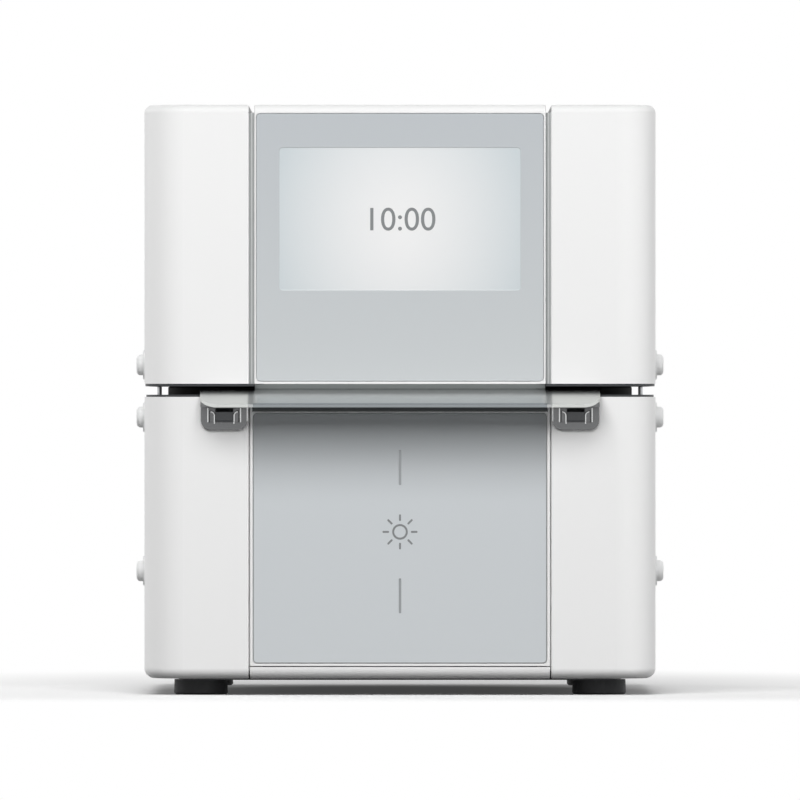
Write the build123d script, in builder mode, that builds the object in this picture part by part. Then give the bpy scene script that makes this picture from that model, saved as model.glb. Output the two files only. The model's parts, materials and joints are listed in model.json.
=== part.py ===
from build123d import *
from collections import namedtuple
from math import cos, radians, sin, sqrt, tan
import os

# Benchtop light curing unit for dental resin parts: a base and a hinged lid that close
# round a mirrored curing chamber. Millimetres, +Z up, front towards -Y, origin on the
# table at the middle of the footprint.
os.makedirs("parts", exist_ok=True)

# ---------------------------------------------------------------- clearances
fit = 0.3
seam = 0.7
plate_slack = 1.0

# ---------------------------------------------------------------- casing
casing_width = 328.0
casing_depth = 366.0
casing_corner = 25.0
casing_wall = 3.0
edge_round = 0.8
foot_height = 9.6
base_plate_thickness = 1.0
base_height = 180.4
deck_thickness = 1.4
lid_gap = 5.4
lid_plate_thickness = 1.6
lid_height = 178.6
base_rounding = 6.4
lid_rounding = 5.0

# Side shells end at a stepped flange that runs behind the centre covers.
shell_front_width = 67.2
web_thickness = 2.5
flange_inset = 5.0
flange_thickness = 2.0
flange_reach = 8.8

# Round caps cover the screws that hold the side shells, two at each height.
cap_radius = 6.75
cap_reach = 5.4
cap_bevel = 1.6
cap_flange_radius = 9.5
cap_flange_thickness = 1.2
cap_stem_radius = 3.9
cap_stem_length = 7.0
cap_from_face = 45.0
base_low_cap_rise = 68.6
base_high_cap_drop = 13.0
lid_cap_rise = 12.2

# ---------------------------------------------------------------- front covers and panels
cover_thickness = 4.6
lid_cover_seam = 3.5
panel_thickness = 2.0
panel_recess = 2.2
panel_corner = 2.5
ledge_margin = 6.0
lid_panel_border = 1.4
lid_panel_bottom_border = 1.7
lid_panel_top_border = 5.6
base_panel_border = 2.1
base_panel_top_border = 10.4
frame_bottom_gap = 8.2
rear_cover_drop = 8.0

# Two short grooves stand one above the other on the middle of the lower panel.
groove_width = 1.6
groove_length = 22.5
groove_depth = 0.4
groove_spacing = 82.0
groove_drop = 0.3

display_side_gap = 3.4
display_top_gap = 10.0
display_height = 103.0
display_depth = 5.5
control_side_inset = 7.5
control_end_inset = 5.5

# ---------------------------------------------------------------- bottom plate and feet
floor_ledge_side = 34.0
floor_ledge_end = 25.0
base_plate_side_inset = 22.0
base_plate_end_inset = 13.0
base_plate_corner = 10.0
louvre_length = 8.5
louvre_width = 4.0
louvre_drop = 0.7
louvre_rim = 1.0
louvre_spacing = 17.2
louvre_count = 4
louvre_group_spacing = 77.2
louvre_group_count = 3
louvre_row_spacing = 220.0
louvre_row_count = 2
foot_radius = 17.4
foot_top_radius = 17.0
foot_bevel = 1.2
foot_from_side = 36.1
foot_from_face = 38.0
foot_screw_radius = 4.5
foot_screw_depth = 4.0

# ---------------------------------------------------------------- handle and latches
handle_reach = 23.0
handle_end_inset = 36.0
handle_thickness = 2.0
handle_tilt = 21.5
handle_corner = 14.0
handle_bend = 3.6
handle_start_height = 4.2
handle_flange_height = 14.0
handle_flange_gap = 1.0
wing_clearance = 0.4

# A keeper hangs from each wing, and its catch stands in a slot of the base.
keeper_from_end = 15.5
keeper_width = 30.0
keeper_drop = 21.0
keeper_corner = 6.4
keeper_thickness = 2.0
keeper_clearance = 0.6
keeper_tab = 15.0
keeper_tab_thickness = 1.6
window_width = 20.4
window_height = 9.0
window_rise = 9.3
tongue_thickness = 1.2
tongue_drop = 2.2
tongue_set_back = 2.6
tongue_stop = 1.0
prong_gap = 11.8
prong_width = 3.4
prong_height = 7.9
prong_rise = 4.0
prong_round = 2.8
catch_slot_half = 10.2
catch_slot_rise = 3.2
catch_plate_half = 12.6
catch_plate_drop = 1.0
catch_plate_thickness = 1.4
catch_plate_top_gap = 1.0

# ---------------------------------------------------------------- rear panels and hinges
rear_panel_inset = 3.3
rear_panel_thickness = 1.6
rear_panel_corner = 1.5
rear_panel_end_gap = 0.2
rear_flange_depth = 18.0
grille_rib = 2.0
grille_slot = 4.2
grille_margin = 3.0
screw_radius = 1.5
screw_slack = 0.3
screw_head_radius = 3.0
screw_head_height = 1.8
screw_head_taper = 18.0
rear_screw_margin = 3.3
rear_screw_inset = 13.0

hinge_from_edge = 31.3
hinge_width = 44.0
hinge_knuckle = 14.0
hinge_leaf_thickness = 2.5
hinge_leaf_height = 34.0
hinge_barrel_radius = 5.0
hinge_pin_radius = 2.5
hinge_pin_bevel = 0.4
hinge_slack = 0.05
knuckle_gap = 0.4
hinge_notch_side = 1.5
hinge_notch_end = 1.0
hinge_screw_spread = 12.0
hinge_screw_rise = 24.0

# ---------------------------------------------------------------- deck, seal and interlocks
deck_inset = 1.2
plate_inset = 0.6
seal_gap = 0.4
seal_band = 17.0
seal_corner = 20.0
interlock_from_side = 9.0
interlock_from_face = 66.0
interlock_radius = 1.5
interlock_slack = 0.05
interlock_travel = 3.0
interlock_bevel = 0.5
switch_block_width = 10.0
switch_block_depth = 20.0
switch_block_height = 16.0
switch_block_corner = 1.0
switch_block_floor = 1.0

# ---------------------------------------------------------------- curing chamber
chamber_side_margin = 40.0
chamber_end_margin = 69.0
chamber_height = 62.0
chamber_draft = 24.0
chamber_corner = 24.0
chamber_wall = 1.0
chamber_flange = 8.0
tray_gap = 3.0
tray_thickness = 4.0
tray_height = 18.4
peg_radius = 4.0
peg_inset = 12.0

# ---------------------------------------------------------------- light engines
light_inset = 25.0
light_corner = 6.0
light_window_margin = 5.0
light_window_thickness = 3.0
board_gap = 6.0
board_thickness = 1.6
emitter_size = 6.0
emitter_height = 1.8
emitter_margin = 21.0
emitter_column_count = 5
emitter_row_count = 4
sink_inset = 5.0
sink_base = 6.0
fin_height = 26.0
fin_thickness = 1.6
fin_count = 17
sink_post_radius = 4.0
sink_post_inset = 9.0

# ---------------------------------------------------------------- fans
fan_size = 80.0
fan_depth = 25.0
fan_bore = 38.0
fan_corner = 4.0
fan_hole_spacing = 71.5
fan_hub_radius = 15.0
fan_boss_depth = 3.0
fan_strut_width = 3.0
fan_axle_radius = 1.5
fan_axle_length = 19.0
fan_axle_slack = 0.05
fan_tip_gap = 1.2
fan_end_gap = 1.0
blade_count = 7
blade_thickness = 1.4
blade_root_chord = 19.0
blade_tip_chord = 24.0
blade_root_angle = 44.0
blade_tip_angle = 28.0
blade_seat = 1.0
base_fan_gap = 8.0
base_fan_rise = 65.4
lid_fan_x = 0.0
lid_fan_rise = 100.6

# ---------------------------------------------------------------- power parts
inlet_from_flange = 36.0
inlet_rise = 39.4
inlet_width = 27.4
inlet_height = 20.0
inlet_lip = 2.8
inlet_flange = 2.2
inlet_corner = 2.0
inlet_body_depth = 22.0
inlet_mouth_width = 23.0
inlet_mouth_height = 15.6
inlet_mouth_depth = 18.0
contact_length = 12.0
contact_width = 2.0
contact_height = 4.5
contact_spacing = 7.0
contact_count = 3

switch_rise = 77.4
switch_width = 13.0
switch_height = 21.5
switch_lip = 2.0
switch_flange = 2.0
switch_corner = 1.5
switch_depth = 18.0
rocker_radius = 8.5
rocker_width = 10.0
rocker_gap = 0.4
rocker_tilt = 8.0
rocker_back = 3.0
rocker_waist = 2.6
rocker_tip = 4.6
rocker_pin_radius = 1.2
rocker_pin_length = 1.0
rocker_slack = 0.05

supply_width = 180.0
supply_depth = 100.0
supply_height = 42.0
supply_x = -25.0
supply_from_centre = 60.0
terminal_width = 60.0
terminal_depth = 16.0
terminal_height = 14.0
driver_width = 110.0
driver_depth = 84.0
driver_x = 62.0
driver_from_centre = 60.0
stand_off = 8.0
stand_off_radius = 3.0
stand_off_inset = 6.0
coil_radius = 9.0
coil_height = 12.0
coil_spacing = 30.0
coil_count = 3

# ---------------------------------------------------------------- levels
base_bottom = foot_height + base_plate_thickness
base_top = base_bottom + base_height
deck_top = base_top + deck_thickness
lid_plate_bottom = deck_top + lid_gap
lid_bottom = lid_plate_bottom + lid_plate_thickness
lid_top = lid_bottom + lid_height
gap_middle = (deck_top + lid_plate_bottom) / 2
keeper_bottom = base_top - keeper_drop

# ---------------------------------------------------------------- places across and along
hinge_reach = 2 * hinge_barrel_radius - rear_panel_inset
front_y = handle_reach - (casing_depth + handle_reach + hinge_reach) / 2
rear_y = front_y + casing_depth
centre_y = (front_y + rear_y) / 2
leaf_face_y = rear_y - rear_panel_inset
hinge_y = leaf_face_y + hinge_barrel_radius
side_x = casing_width / 2
shell_edge_x = side_x - shell_front_width
flange_tip_x = shell_edge_x - flange_reach
lid_cover_half = shell_edge_x - lid_cover_seam
base_frame_half = shell_edge_x - seam

front = Plane.XZ.offset(-front_y)
outside = Plane(origin=(0, leaf_face_y, 0), x_dir=(-1, 0, 0), z_dir=(0, 1, 0))
right_side = Plane.YZ.offset(side_x)
level_slack = 0.01

Half = namedtuple("Half", "open_z closed_z rounding")
base_half = Half(base_top, base_bottom, base_rounding)
lid_half = Half(lid_bottom, lid_top, lid_rounding)


def save(part, name):
    """Writes one finished piece under its own name."""
    part.label = name
    export_step(part, f"parts/{name}.step")


def pair(x):
    """A place and its mirror image across the middle, by side."""
    return {"left": -x, "right": x}


# ---------------------------------------------------------------- casing helpers
def casing_block(half, inset, below=0.0):
    """The casing's outline, inset all round, with its closed end rounded outside."""
    inward = 1 if half.closed_z > half.open_z else -1
    start_z = half.open_z - inward * below
    end_z = half.closed_z - inward * inset
    with BuildPart() as block:
        with BuildSketch(Plane.XY.offset(start_z)):
            with Locations((0, centre_y)):
                RectangleRounded(
                    casing_width - 2 * inset,
                    casing_depth - 2 * inset,
                    casing_corner - inset,
                )
        extrude(amount=end_z - start_z)
        end_edges = block.edges().filter_by_position(
            Axis.Z, end_z - level_slack, end_z + level_slack
        )
        if inset == 0:
            fillet(end_edges, half.rounding)
        elif half.rounding > inset:
            chamfer(end_edges, half.rounding - inset)
    return block.part


def casing_slab(half, x_low, x_high, rounded_sides):
    """The casing block between two planes across X, with the named cut faces rounded."""
    with BuildPart() as slab:
        add(casing_block(half, 0))
        split(bisect_by=Plane.YZ.offset(x_low), keep=Keep.TOP)
        split(bisect_by=Plane.YZ.offset(x_high), keep=Keep.BOTTOM)
        for side_of_slab in rounded_sides:
            cut_face = slab.faces().filter_by(Axis.X).sort_by(Axis.X)[side_of_slab]
            open_edge = cut_face.edges().filter_by_position(
                Axis.Z, half.open_z - level_slack, half.open_z + level_slack
            )
            fillet(cut_face.edges() - open_edge, edge_round)
    return slab.part


def side_shell(half):
    """Right-hand moulded shell: outer wall, return web and the flange behind the cover."""
    web_x = shell_edge_x + web_thickness
    inner_inset = flange_inset + flange_thickness
    with BuildPart() as wall_hollow:
        add(casing_block(half, casing_wall, below=1))
        split(bisect_by=Plane.YZ.offset(web_x), keep=Keep.TOP)
    with BuildPart() as flange:
        add(casing_block(half, flange_inset))
        split(bisect_by=Plane.YZ.offset(flange_tip_x), keep=Keep.TOP)
        split(bisect_by=Plane.YZ.offset(shell_edge_x + web_thickness / 2), keep=Keep.BOTTOM)
    with BuildPart() as shell:
        add(casing_slab(half, shell_edge_x, side_x + 1, rounded_sides=(0,)))
        add(flange.part)
        add(casing_block(half, inner_inset, below=1), mode=Mode.SUBTRACT)
        add(wall_hollow.part, mode=Mode.SUBTRACT)
    return shell.part


cap_ys = (front_y + cap_from_face, rear_y - cap_from_face)
base_cap_zs = (base_bottom + base_low_cap_rise, base_top - base_high_cap_drop)
base_cap_spots = [(y, z) for y in cap_ys for z in base_cap_zs]
lid_cap_spots = [(y, lid_bottom + lid_cap_rise) for y in cap_ys]


def cap_holes(shell, spots):
    """The shell with a clearance hole for each cap's stem."""
    with BuildPart() as drilled:
        add(shell)
        with BuildSketch(right_side):
            with Locations(spots):
                Circle(cap_stem_radius + fit)
        extrude(amount=-cap_stem_length, mode=Mode.SUBTRACT)
    return drilled.part


def side_caps(spots):
    """Bevelled caps with a thin flange and a stem, on both sides of the casing."""
    with BuildPart() as cap:
        with BuildSketch(right_side):
            Circle(cap_radius)
        extrude(amount=cap_reach)
        chamfer(cap.edges().group_by(Axis.X)[-1], cap_bevel)
        with BuildSketch(right_side):
            Circle(cap_flange_radius)
        extrude(amount=cap_flange_thickness)
        with BuildSketch(right_side):
            Circle(cap_stem_radius)
        extrude(amount=-cap_stem_length)
    with BuildPart() as caps:
        with Locations([(0, y, z) for y, z in spots]):
            add(cap.part)
        mirror(about=Plane.YZ)
    return caps.part


def mirrored(part):
    """The left-hand twin of a right-hand piece."""
    with BuildPart() as twin:
        add(part)
        mirror(about=Plane.YZ, mode=Mode.REPLACE)
    return twin.part


def framed_opening(cover, half_width, middle, height):
    """A cover with a recess for a panel and a smaller opening that leaves a ledge."""
    with BuildPart() as framed:
        add(cover)
        with BuildSketch(front):
            with Locations((0, middle)):
                RectangleRounded(2 * (half_width + fit), height + 2 * fit, panel_corner + fit)
        extrude(amount=-panel_recess, mode=Mode.SUBTRACT)
        with BuildSketch(front):
            with Locations((0, middle)):
                Rectangle(2 * (half_width - ledge_margin), height - 2 * ledge_margin)
        extrude(amount=-cover_thickness, mode=Mode.SUBTRACT)
    return framed.part


# ---------------------------------------------------------------- base: shells
keeper_x = side_x - handle_end_inset - keeper_from_end
catch_slot_bottom = keeper_bottom + catch_slot_rise

with BuildPart() as base_shell_right:
    add(cap_holes(side_shell(base_half), base_cap_spots))
    with BuildSketch(Plane.XY.offset(base_bottom)):
        with Locations((0, centre_y)):
            Rectangle(casing_width - 2 * floor_ledge_side, casing_depth - 2 * floor_ledge_end)
    extrude(amount=flange_inset + flange_thickness + 1, mode=Mode.SUBTRACT)
    with BuildSketch(front):
        with Locations((keeper_x, (catch_slot_bottom + base_top) / 2)):
            Rectangle(2 * catch_slot_half, base_top - catch_slot_bottom)
    extrude(amount=-casing_wall, mode=Mode.SUBTRACT)
save(base_shell_right.part, "base_shell_right")
save(mirrored(base_shell_right.part), "base_shell_left")
save(side_caps(base_cap_spots), "base_side_caps")

# ---------------------------------------------------------------- base: front frame
frame_bottom = base_bottom + frame_bottom_gap
base_panel_half = base_frame_half - base_panel_border
base_panel_bottom = frame_bottom + base_panel_border - fit
base_panel_height = base_top - base_panel_top_border - base_panel_bottom
base_panel_middle = base_panel_bottom + base_panel_height / 2
groove_middle = (frame_bottom + base_top) / 2 - groove_drop

with BuildPart() as frame_slab:
    with BuildSketch(front):
        with Locations((0, (frame_bottom + base_top) / 2)):
            Rectangle(2 * base_frame_half, base_top - frame_bottom)
    extrude(amount=-cover_thickness)
    fillet(frame_slab.faces().sort_by(Axis.Y)[0].edges().filter_by(Axis.Z), edge_round)
save(
    framed_opening(frame_slab.part, base_panel_half, base_panel_middle, base_panel_height),
    "base_front_frame",
)

with BuildPart() as base_front_panel:
    with BuildSketch(front.offset(-panel_recess)):
        with Locations((0, base_panel_middle)):
            RectangleRounded(2 * base_panel_half, base_panel_height, panel_corner)
    extrude(amount=panel_thickness)
    with BuildSketch(front):
        with Locations((0, groove_middle)):
            with GridLocations(0, groove_spacing, 1, 2):
                SlotOverall(groove_length, groove_width, rotation=90)
    extrude(amount=panel_thickness - panel_recess - groove_depth, mode=Mode.SUBTRACT)
save(base_front_panel.part, "base_front_panel")

with BuildPart() as base_front_sill:
    add(casing_slab(base_half, -base_frame_half, base_frame_half, rounded_sides=(0, -1)))
    add(casing_block(base_half, casing_wall, below=1), mode=Mode.SUBTRACT)
    split(bisect_by=Plane.XY.offset(frame_bottom - seam), keep=Keep.BOTTOM)
    split(bisect_by=Plane.XZ.offset(-front_y - floor_ledge_end + plate_slack), keep=Keep.TOP)
save(base_front_sill.part, "base_front_sill")

# ---------------------------------------------------------------- base: bottom and feet
with BuildPart() as base_plate:
    with BuildSketch(Plane.XY.offset(foot_height)):
        with Locations((0, centre_y)):
            RectangleRounded(
                casing_width - 2 * base_plate_side_inset,
                casing_depth - 2 * base_plate_end_inset,
                base_plate_corner,
            )
    extrude(amount=base_plate_thickness)
    louvre_groups = GridLocations(
        louvre_group_spacing, louvre_row_spacing, louvre_group_count, louvre_row_count
    )
    louvre_spots = [
        group * spot
        for group in louvre_groups
        for spot in GridLocations(louvre_spacing, 0, louvre_count, 1).locations
    ]
    with BuildSketch(Plane.XY.offset(foot_height)):
        with Locations((0, centre_y)):
            with Locations(louvre_spots):
                Rectangle(louvre_length, louvre_width)
    extrude(amount=-louvre_drop)
    with BuildSketch(Plane.XY.offset(foot_height - louvre_drop)):
        with Locations((0, centre_y)):
            with Locations(louvre_spots):
                Rectangle(louvre_length - 2 * louvre_rim, louvre_width - 2 * louvre_rim)
    extrude(amount=base_plate_thickness + louvre_drop, mode=Mode.SUBTRACT)
save(base_plate.part, "base_plate")


def rubber_foot(x, y):
    """Slightly flared rubber foot with a recessed screw hole under it."""
    with BuildPart() as foot:
        with BuildSketch(Plane.XY):
            with Locations((x, y)):
                Circle(foot_radius)
        with BuildSketch(Plane.XY.offset(foot_height)):
            with Locations((x, y)):
                Circle(foot_top_radius)
        loft()
        chamfer(foot.edges().group_by(Axis.Z)[0], foot_bevel)
        with BuildSketch(Plane.XY):
            with Locations((x, y)):
                Circle(foot_screw_radius)
        extrude(amount=foot_screw_depth, mode=Mode.SUBTRACT)
    return foot.part


foot_ys = {"front": front_y + foot_from_face, "rear": rear_y - foot_from_face}
for end, y in foot_ys.items():
    for side, x in pair(side_x - foot_from_side).items():
        save(rubber_foot(x, y), f"foot_{end}_{side}")

# ---------------------------------------------------------------- rear panels
base_panel_low = base_bottom
base_panel_high = base_top - rear_panel_end_gap
lid_panel_low = lid_bottom + rear_panel_end_gap
rear_cover_bottom = lid_top - rear_cover_drop
lid_panel_high = rear_cover_bottom - seam
rear_panel_half = lid_cover_half
hinge_x = rear_panel_half - hinge_from_edge
base_fan_x = flange_tip_x - base_fan_gap - fan_size / 2
base_fan_z = base_bottom + base_fan_rise
lid_fan_z = lid_bottom + lid_fan_rise
inlet_z = base_bottom + inlet_rise
inlet_x = inlet_from_flange - flange_tip_x
switch_x = inlet_x
switch_z = base_bottom + switch_rise
corners = [(x, z) for x in (-1, 1) for z in (-1, 1)]


def panel_screw_spots(low, high, fan_x, fan_z):
    """Screw places of one rear panel: near its corners and round its fan."""
    middle = (low + high) / 2
    across = rear_panel_half - rear_screw_margin
    rise = (high - low) / 2 - rear_screw_inset
    spread = fan_hole_spacing / 2
    own = [(x * across, middle + z * rise) for x, z in corners]
    return own + [(fan_x + x * spread, fan_z + z * spread) for x, z in corners]


def hinge_screw_spots(direction):
    """Screw places on both hinge leaves, above (1) or below (-1) the hinge line."""
    return [
        (hinge + across, gap_middle + direction * hinge_screw_rise)
        for hinge in (-hinge_x, hinge_x)
        for across in (-hinge_screw_spread, hinge_screw_spread)
    ]


def rear_sheet(low, high, screws):
    """Flat rear panel between the side shells, with its screw holes."""
    with BuildPart() as sheet:
        with BuildSketch(outside):
            with Locations((0, (low + high) / 2)):
                RectangleRounded(2 * rear_panel_half, high - low, rear_panel_corner)
            with Locations([(-x, z) for x, z in screws]):
                Circle(screw_radius + screw_slack, mode=Mode.SUBTRACT)
        extrude(amount=-rear_panel_thickness)
    return sheet.part


def grille(x, z):
    """What a fan grille leaves open: level slots, clipped to the fan's round mouth."""
    grille_radius = fan_bore - grille_margin
    spacing = grille_slot + grille_rib
    with BuildPart() as slots:
        with BuildSketch(outside):
            with Locations((-x, z)):
                with GridLocations(0, spacing, 1, int(2 * grille_radius / spacing)):
                    Rectangle(2 * grille_radius, grille_slot)
                Circle(grille_radius, mode=Mode.INTERSECT)
        extrude(amount=-rear_panel_thickness)
    return slots.part


def rear_screws(panel_spots, leaf_spots):
    """Pan-head screws, heads on the rear panel or on a hinge leaf, shanks in their holes."""
    with BuildPart() as screws:
        for spots, seat in ((panel_spots, 0), (leaf_spots, hinge_leaf_thickness)):
            with BuildSketch(outside.offset(seat)):
                with Locations([(-x, z) for x, z in spots]):
                    Circle(screw_head_radius)
            extrude(amount=screw_head_height, taper=screw_head_taper)
            with BuildSketch(outside.offset(seat)):
                with Locations([(-x, z) for x, z in spots]):
                    Circle(screw_radius)
            extrude(amount=-rear_panel_thickness - seat)
    return screws.part


base_rear_spots = panel_screw_spots(base_panel_low, base_panel_high, base_fan_x, base_fan_z)
lid_rear_spots = panel_screw_spots(lid_panel_low, lid_panel_high, lid_fan_x, lid_fan_z)
base_leaf_spots = hinge_screw_spots(-1)
lid_leaf_spots = hinge_screw_spots(1)

with BuildPart() as base_rear_panel:
    add(rear_sheet(base_panel_low, base_panel_high, base_rear_spots + base_leaf_spots))
    with BuildSketch(Plane.XY.offset(base_bottom)):
        with Locations((0, leaf_face_y - rear_flange_depth / 2)):
            Rectangle(2 * (flange_tip_x - plate_slack), rear_flange_depth)
    extrude(amount=rear_panel_thickness)
    add(grille(base_fan_x, base_fan_z), mode=Mode.SUBTRACT)
    with BuildSketch(outside):
        with Locations((-inlet_x, inlet_z)):
            Rectangle(inlet_width + fit, inlet_height + fit)
        with Locations((-switch_x, switch_z)):
            Rectangle(switch_width + fit, switch_height + fit)
    extrude(amount=-rear_panel_thickness, mode=Mode.SUBTRACT)
save(base_rear_panel.part, "base_rear_panel")

with BuildPart() as lid_rear_panel:
    add(rear_sheet(lid_panel_low, lid_panel_high, lid_rear_spots + lid_leaf_spots))
    add(grille(lid_fan_x, lid_fan_z), mode=Mode.SUBTRACT)
save(lid_rear_panel.part, "lid_rear_panel")
save(rear_screws(base_rear_spots, base_leaf_spots), "base_rear_screws")
save(rear_screws(lid_rear_spots, lid_leaf_spots), "lid_rear_screws")

# ---------------------------------------------------------------- hinges and pins
knuckle_step = hinge_knuckle + knuckle_gap


def hinge_leaf(direction, knuckle_xs, notch_xs, bore_radius):
    """Leaf on the rear panel, above (1) or below (-1) the axis, with its bored knuckles."""
    leaf_end = gap_middle + direction * hinge_leaf_height
    notch_end = gap_middle + direction * (hinge_barrel_radius + knuckle_gap)
    screw_z = gap_middle + direction * hinge_screw_rise
    with BuildPart() as leaf:
        with BuildSketch(Plane.XZ.offset(-leaf_face_y)):
            with Locations((0, (leaf_end + gap_middle) / 2)):
                Rectangle(hinge_width, hinge_leaf_height)
            with Locations([(x, (notch_end + gap_middle) / 2) for x in notch_xs]):
                Rectangle(
                    hinge_knuckle + 2 * knuckle_gap,
                    hinge_barrel_radius + knuckle_gap,
                    mode=Mode.SUBTRACT,
                )
            with Locations((-hinge_screw_spread, screw_z), (hinge_screw_spread, screw_z)):
                Circle(screw_radius + screw_slack, mode=Mode.SUBTRACT)
        extrude(amount=-hinge_leaf_thickness)
        for x in knuckle_xs:
            with BuildSketch(Plane.YZ.offset(x - hinge_knuckle / 2)):
                with Locations((hinge_y, gap_middle)):
                    Circle(hinge_barrel_radius)
            extrude(amount=hinge_knuckle)
        with BuildSketch(Plane.YZ.offset(-hinge_width / 2)):
            with Locations((hinge_y, gap_middle)):
                Circle(bore_radius)
        extrude(amount=hinge_width, mode=Mode.SUBTRACT)
    return leaf.part


outer_knuckles = (-knuckle_step, knuckle_step)
base_leaf = hinge_leaf(-1, outer_knuckles, (0,), hinge_pin_radius)
lid_leaf = hinge_leaf(1, (0,), outer_knuckles, hinge_pin_radius + hinge_slack)

with BuildPart() as hinge_pin:
    with BuildSketch(Plane.YZ.offset(-hinge_width / 2)):
        with Locations((hinge_y, gap_middle)):
            Circle(hinge_pin_radius)
    extrude(amount=hinge_width)
    chamfer(hinge_pin.edges(), hinge_pin_bevel)

for side, x in pair(hinge_x).items():
    save(Pos(x, 0, 0) * base_leaf, f"base_hinge_{side}")
    save(Pos(x, 0, 0) * lid_leaf, f"lid_hinge_{side}")
    save(Pos(x, 0, 0) * hinge_pin.part, f"hinge_pin_{side}")

# ---------------------------------------------------------------- handle
# One sheet: a flange inside the lid's front, a bend, then a lip that slopes down and out.
tilt = radians(handle_tilt)
handle_half = side_x - handle_end_inset
handle_flange_half = flange_tip_x - handle_flange_gap
handle_flange_top = lid_bottom + handle_flange_height
handle_top_at_face = base_top + handle_start_height
tongue_half = lid_cover_half - fit
bend_radius = handle_bend + handle_thickness / 2
bend_turn = 90 - handle_tilt
stem_y = front_y + cover_thickness + handle_thickness / 2
bend_end_y = stem_y - bend_radius * (1 - cos(radians(bend_turn)))
mid_z_at_face = handle_top_at_face - handle_thickness / 2 / cos(tilt)
bend_end_z = mid_z_at_face + (bend_end_y - front_y) * tan(tilt)
bend_start_z = bend_end_z + bend_radius * sin(radians(bend_turn))
lip_tip_y = front_y - handle_reach
lip_back_y = front_y - wing_clearance
lip_length = (bend_end_y - lip_tip_y) / cos(tilt) - handle_thickness / 2 * tan(tilt)


def lip_underside(y):
    """Height of the sloping lip's lower face at a place in front of the casing."""
    return handle_top_at_face - (front_y - y) * tan(tilt) - handle_thickness / cos(tilt)


with BuildPart() as handle:
    with BuildSketch(Plane.YZ.offset(-handle_half)):
        with BuildLine():
            stem = Line((stem_y, handle_flange_top), (stem_y, bend_start_z))
            bend = JernArc(stem @ 1, (0, -1), bend_radius, -bend_turn)
            PolarLine(bend @ 1, lip_length, direction=bend % 1)
        trace(line_width=handle_thickness)
    extrude(amount=2 * handle_half)
    with BuildSketch(Plane.XY.offset(keeper_bottom)) as outline:
        with Locations((0, (lip_back_y + lip_tip_y) / 2)):
            Rectangle(2 * handle_half, lip_back_y - lip_tip_y)
        fillet(outline.vertices().group_by(Axis.Y)[0], handle_corner)
        with Locations((0, (lip_back_y + stem_y + handle_thickness) / 2)):
            Rectangle(2 * tongue_half, stem_y + handle_thickness - lip_back_y)
    extrude(amount=handle_flange_top - keeper_bottom, mode=Mode.INTERSECT)
    with BuildSketch(Plane.XY.offset(lid_bottom - fit)):
        for side in (-1, 1):
            with Locations((side * (handle_flange_half + handle_half) / 2, stem_y)):
                Rectangle(handle_half - handle_flange_half, 2 * handle_thickness)
    extrude(amount=handle_flange_height + fit, mode=Mode.SUBTRACT)
save(handle.part, "handle")

# ---------------------------------------------------------------- keepers and catches
keeper_back_y = front_y - keeper_clearance
keeper_front_y = keeper_back_y - keeper_thickness
tab_front_y = keeper_front_y - keeper_tab
window_middle = keeper_bottom + window_rise
window_top = window_middle + window_height / 2
window_bottom = window_middle - window_height / 2
wall_back_y = front_y + casing_wall
catch_plate_bottom = keeper_bottom - catch_plate_drop
catch_plate_top = base_top - catch_plate_top_gap
prong_middle = keeper_bottom + prong_rise + prong_height / 2

with BuildPart() as keeper:
    with BuildSketch(Plane.YZ.offset(-keeper_width / 2)):
        Polygon(
            (keeper_back_y, keeper_bottom),
            (keeper_back_y, lip_underside(keeper_back_y)),
            (tab_front_y, lip_underside(tab_front_y)),
            (tab_front_y, lip_underside(tab_front_y) - keeper_tab_thickness),
            (keeper_front_y, lip_underside(keeper_front_y) - keeper_tab_thickness),
            (keeper_front_y, keeper_bottom),
            align=None,
        )
    extrude(amount=keeper_width)
    fillet(keeper.edges().filter_by(Axis.Y).group_by(Axis.Z)[0], keeper_corner)
    with BuildSketch(Plane.XZ.offset(-keeper_back_y)):
        with Locations((0, window_middle)):
            Rectangle(window_width, window_height)
    extrude(amount=keeper_thickness, mode=Mode.SUBTRACT)
    with BuildSketch(Plane.YZ.offset(-prong_gap / 2 + fit)):
        with BuildLine():
            Polyline(
                (keeper_back_y - tongue_thickness, window_top + tongue_thickness / 2),
                (keeper_back_y + tongue_set_back, window_top - tongue_drop),
                (keeper_back_y + tongue_set_back, window_bottom + tongue_stop),
            )
        trace(line_width=tongue_thickness)
    extrude(amount=prong_gap - 2 * fit)

with BuildPart() as catch:
    with BuildSketch(Plane.XZ.offset(-wall_back_y)):
        with Locations((0, (catch_plate_bottom + catch_plate_top) / 2)):
            Rectangle(2 * catch_plate_half, catch_plate_top - catch_plate_bottom)
    extrude(amount=-catch_plate_thickness)
    with BuildSketch(Plane.XZ.offset(-wall_back_y)) as prong:
        with Locations(((prong_gap + prong_width) / 2, prong_middle)):
            Rectangle(prong_width, prong_height)
        fillet(prong.vertices().group_by(Axis.Y)[-1].sort_by(Axis.X)[0], prong_round)
        mirror(about=Plane.YZ)
    extrude(amount=casing_wall + keeper_clearance - fit)

for side, x in pair(keeper_x).items():
    save(Pos(x, 0, 0) * keeper.part, f"keeper_{side}")
    save(Pos(x, 0, 0) * catch.part, f"catch_{side}")

# ---------------------------------------------------------------- base: deck and interlocks
chamber_width = casing_width - 2 * chamber_side_margin
chamber_depth = casing_depth - 2 * chamber_end_margin
hinge_notch_half = hinge_width / 2 + hinge_notch_side
hinge_notch_depth = rear_panel_inset + hinge_notch_end
catch_notch_depth = casing_wall + catch_plate_thickness + fit
interlock_y = front_y + interlock_from_face


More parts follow.
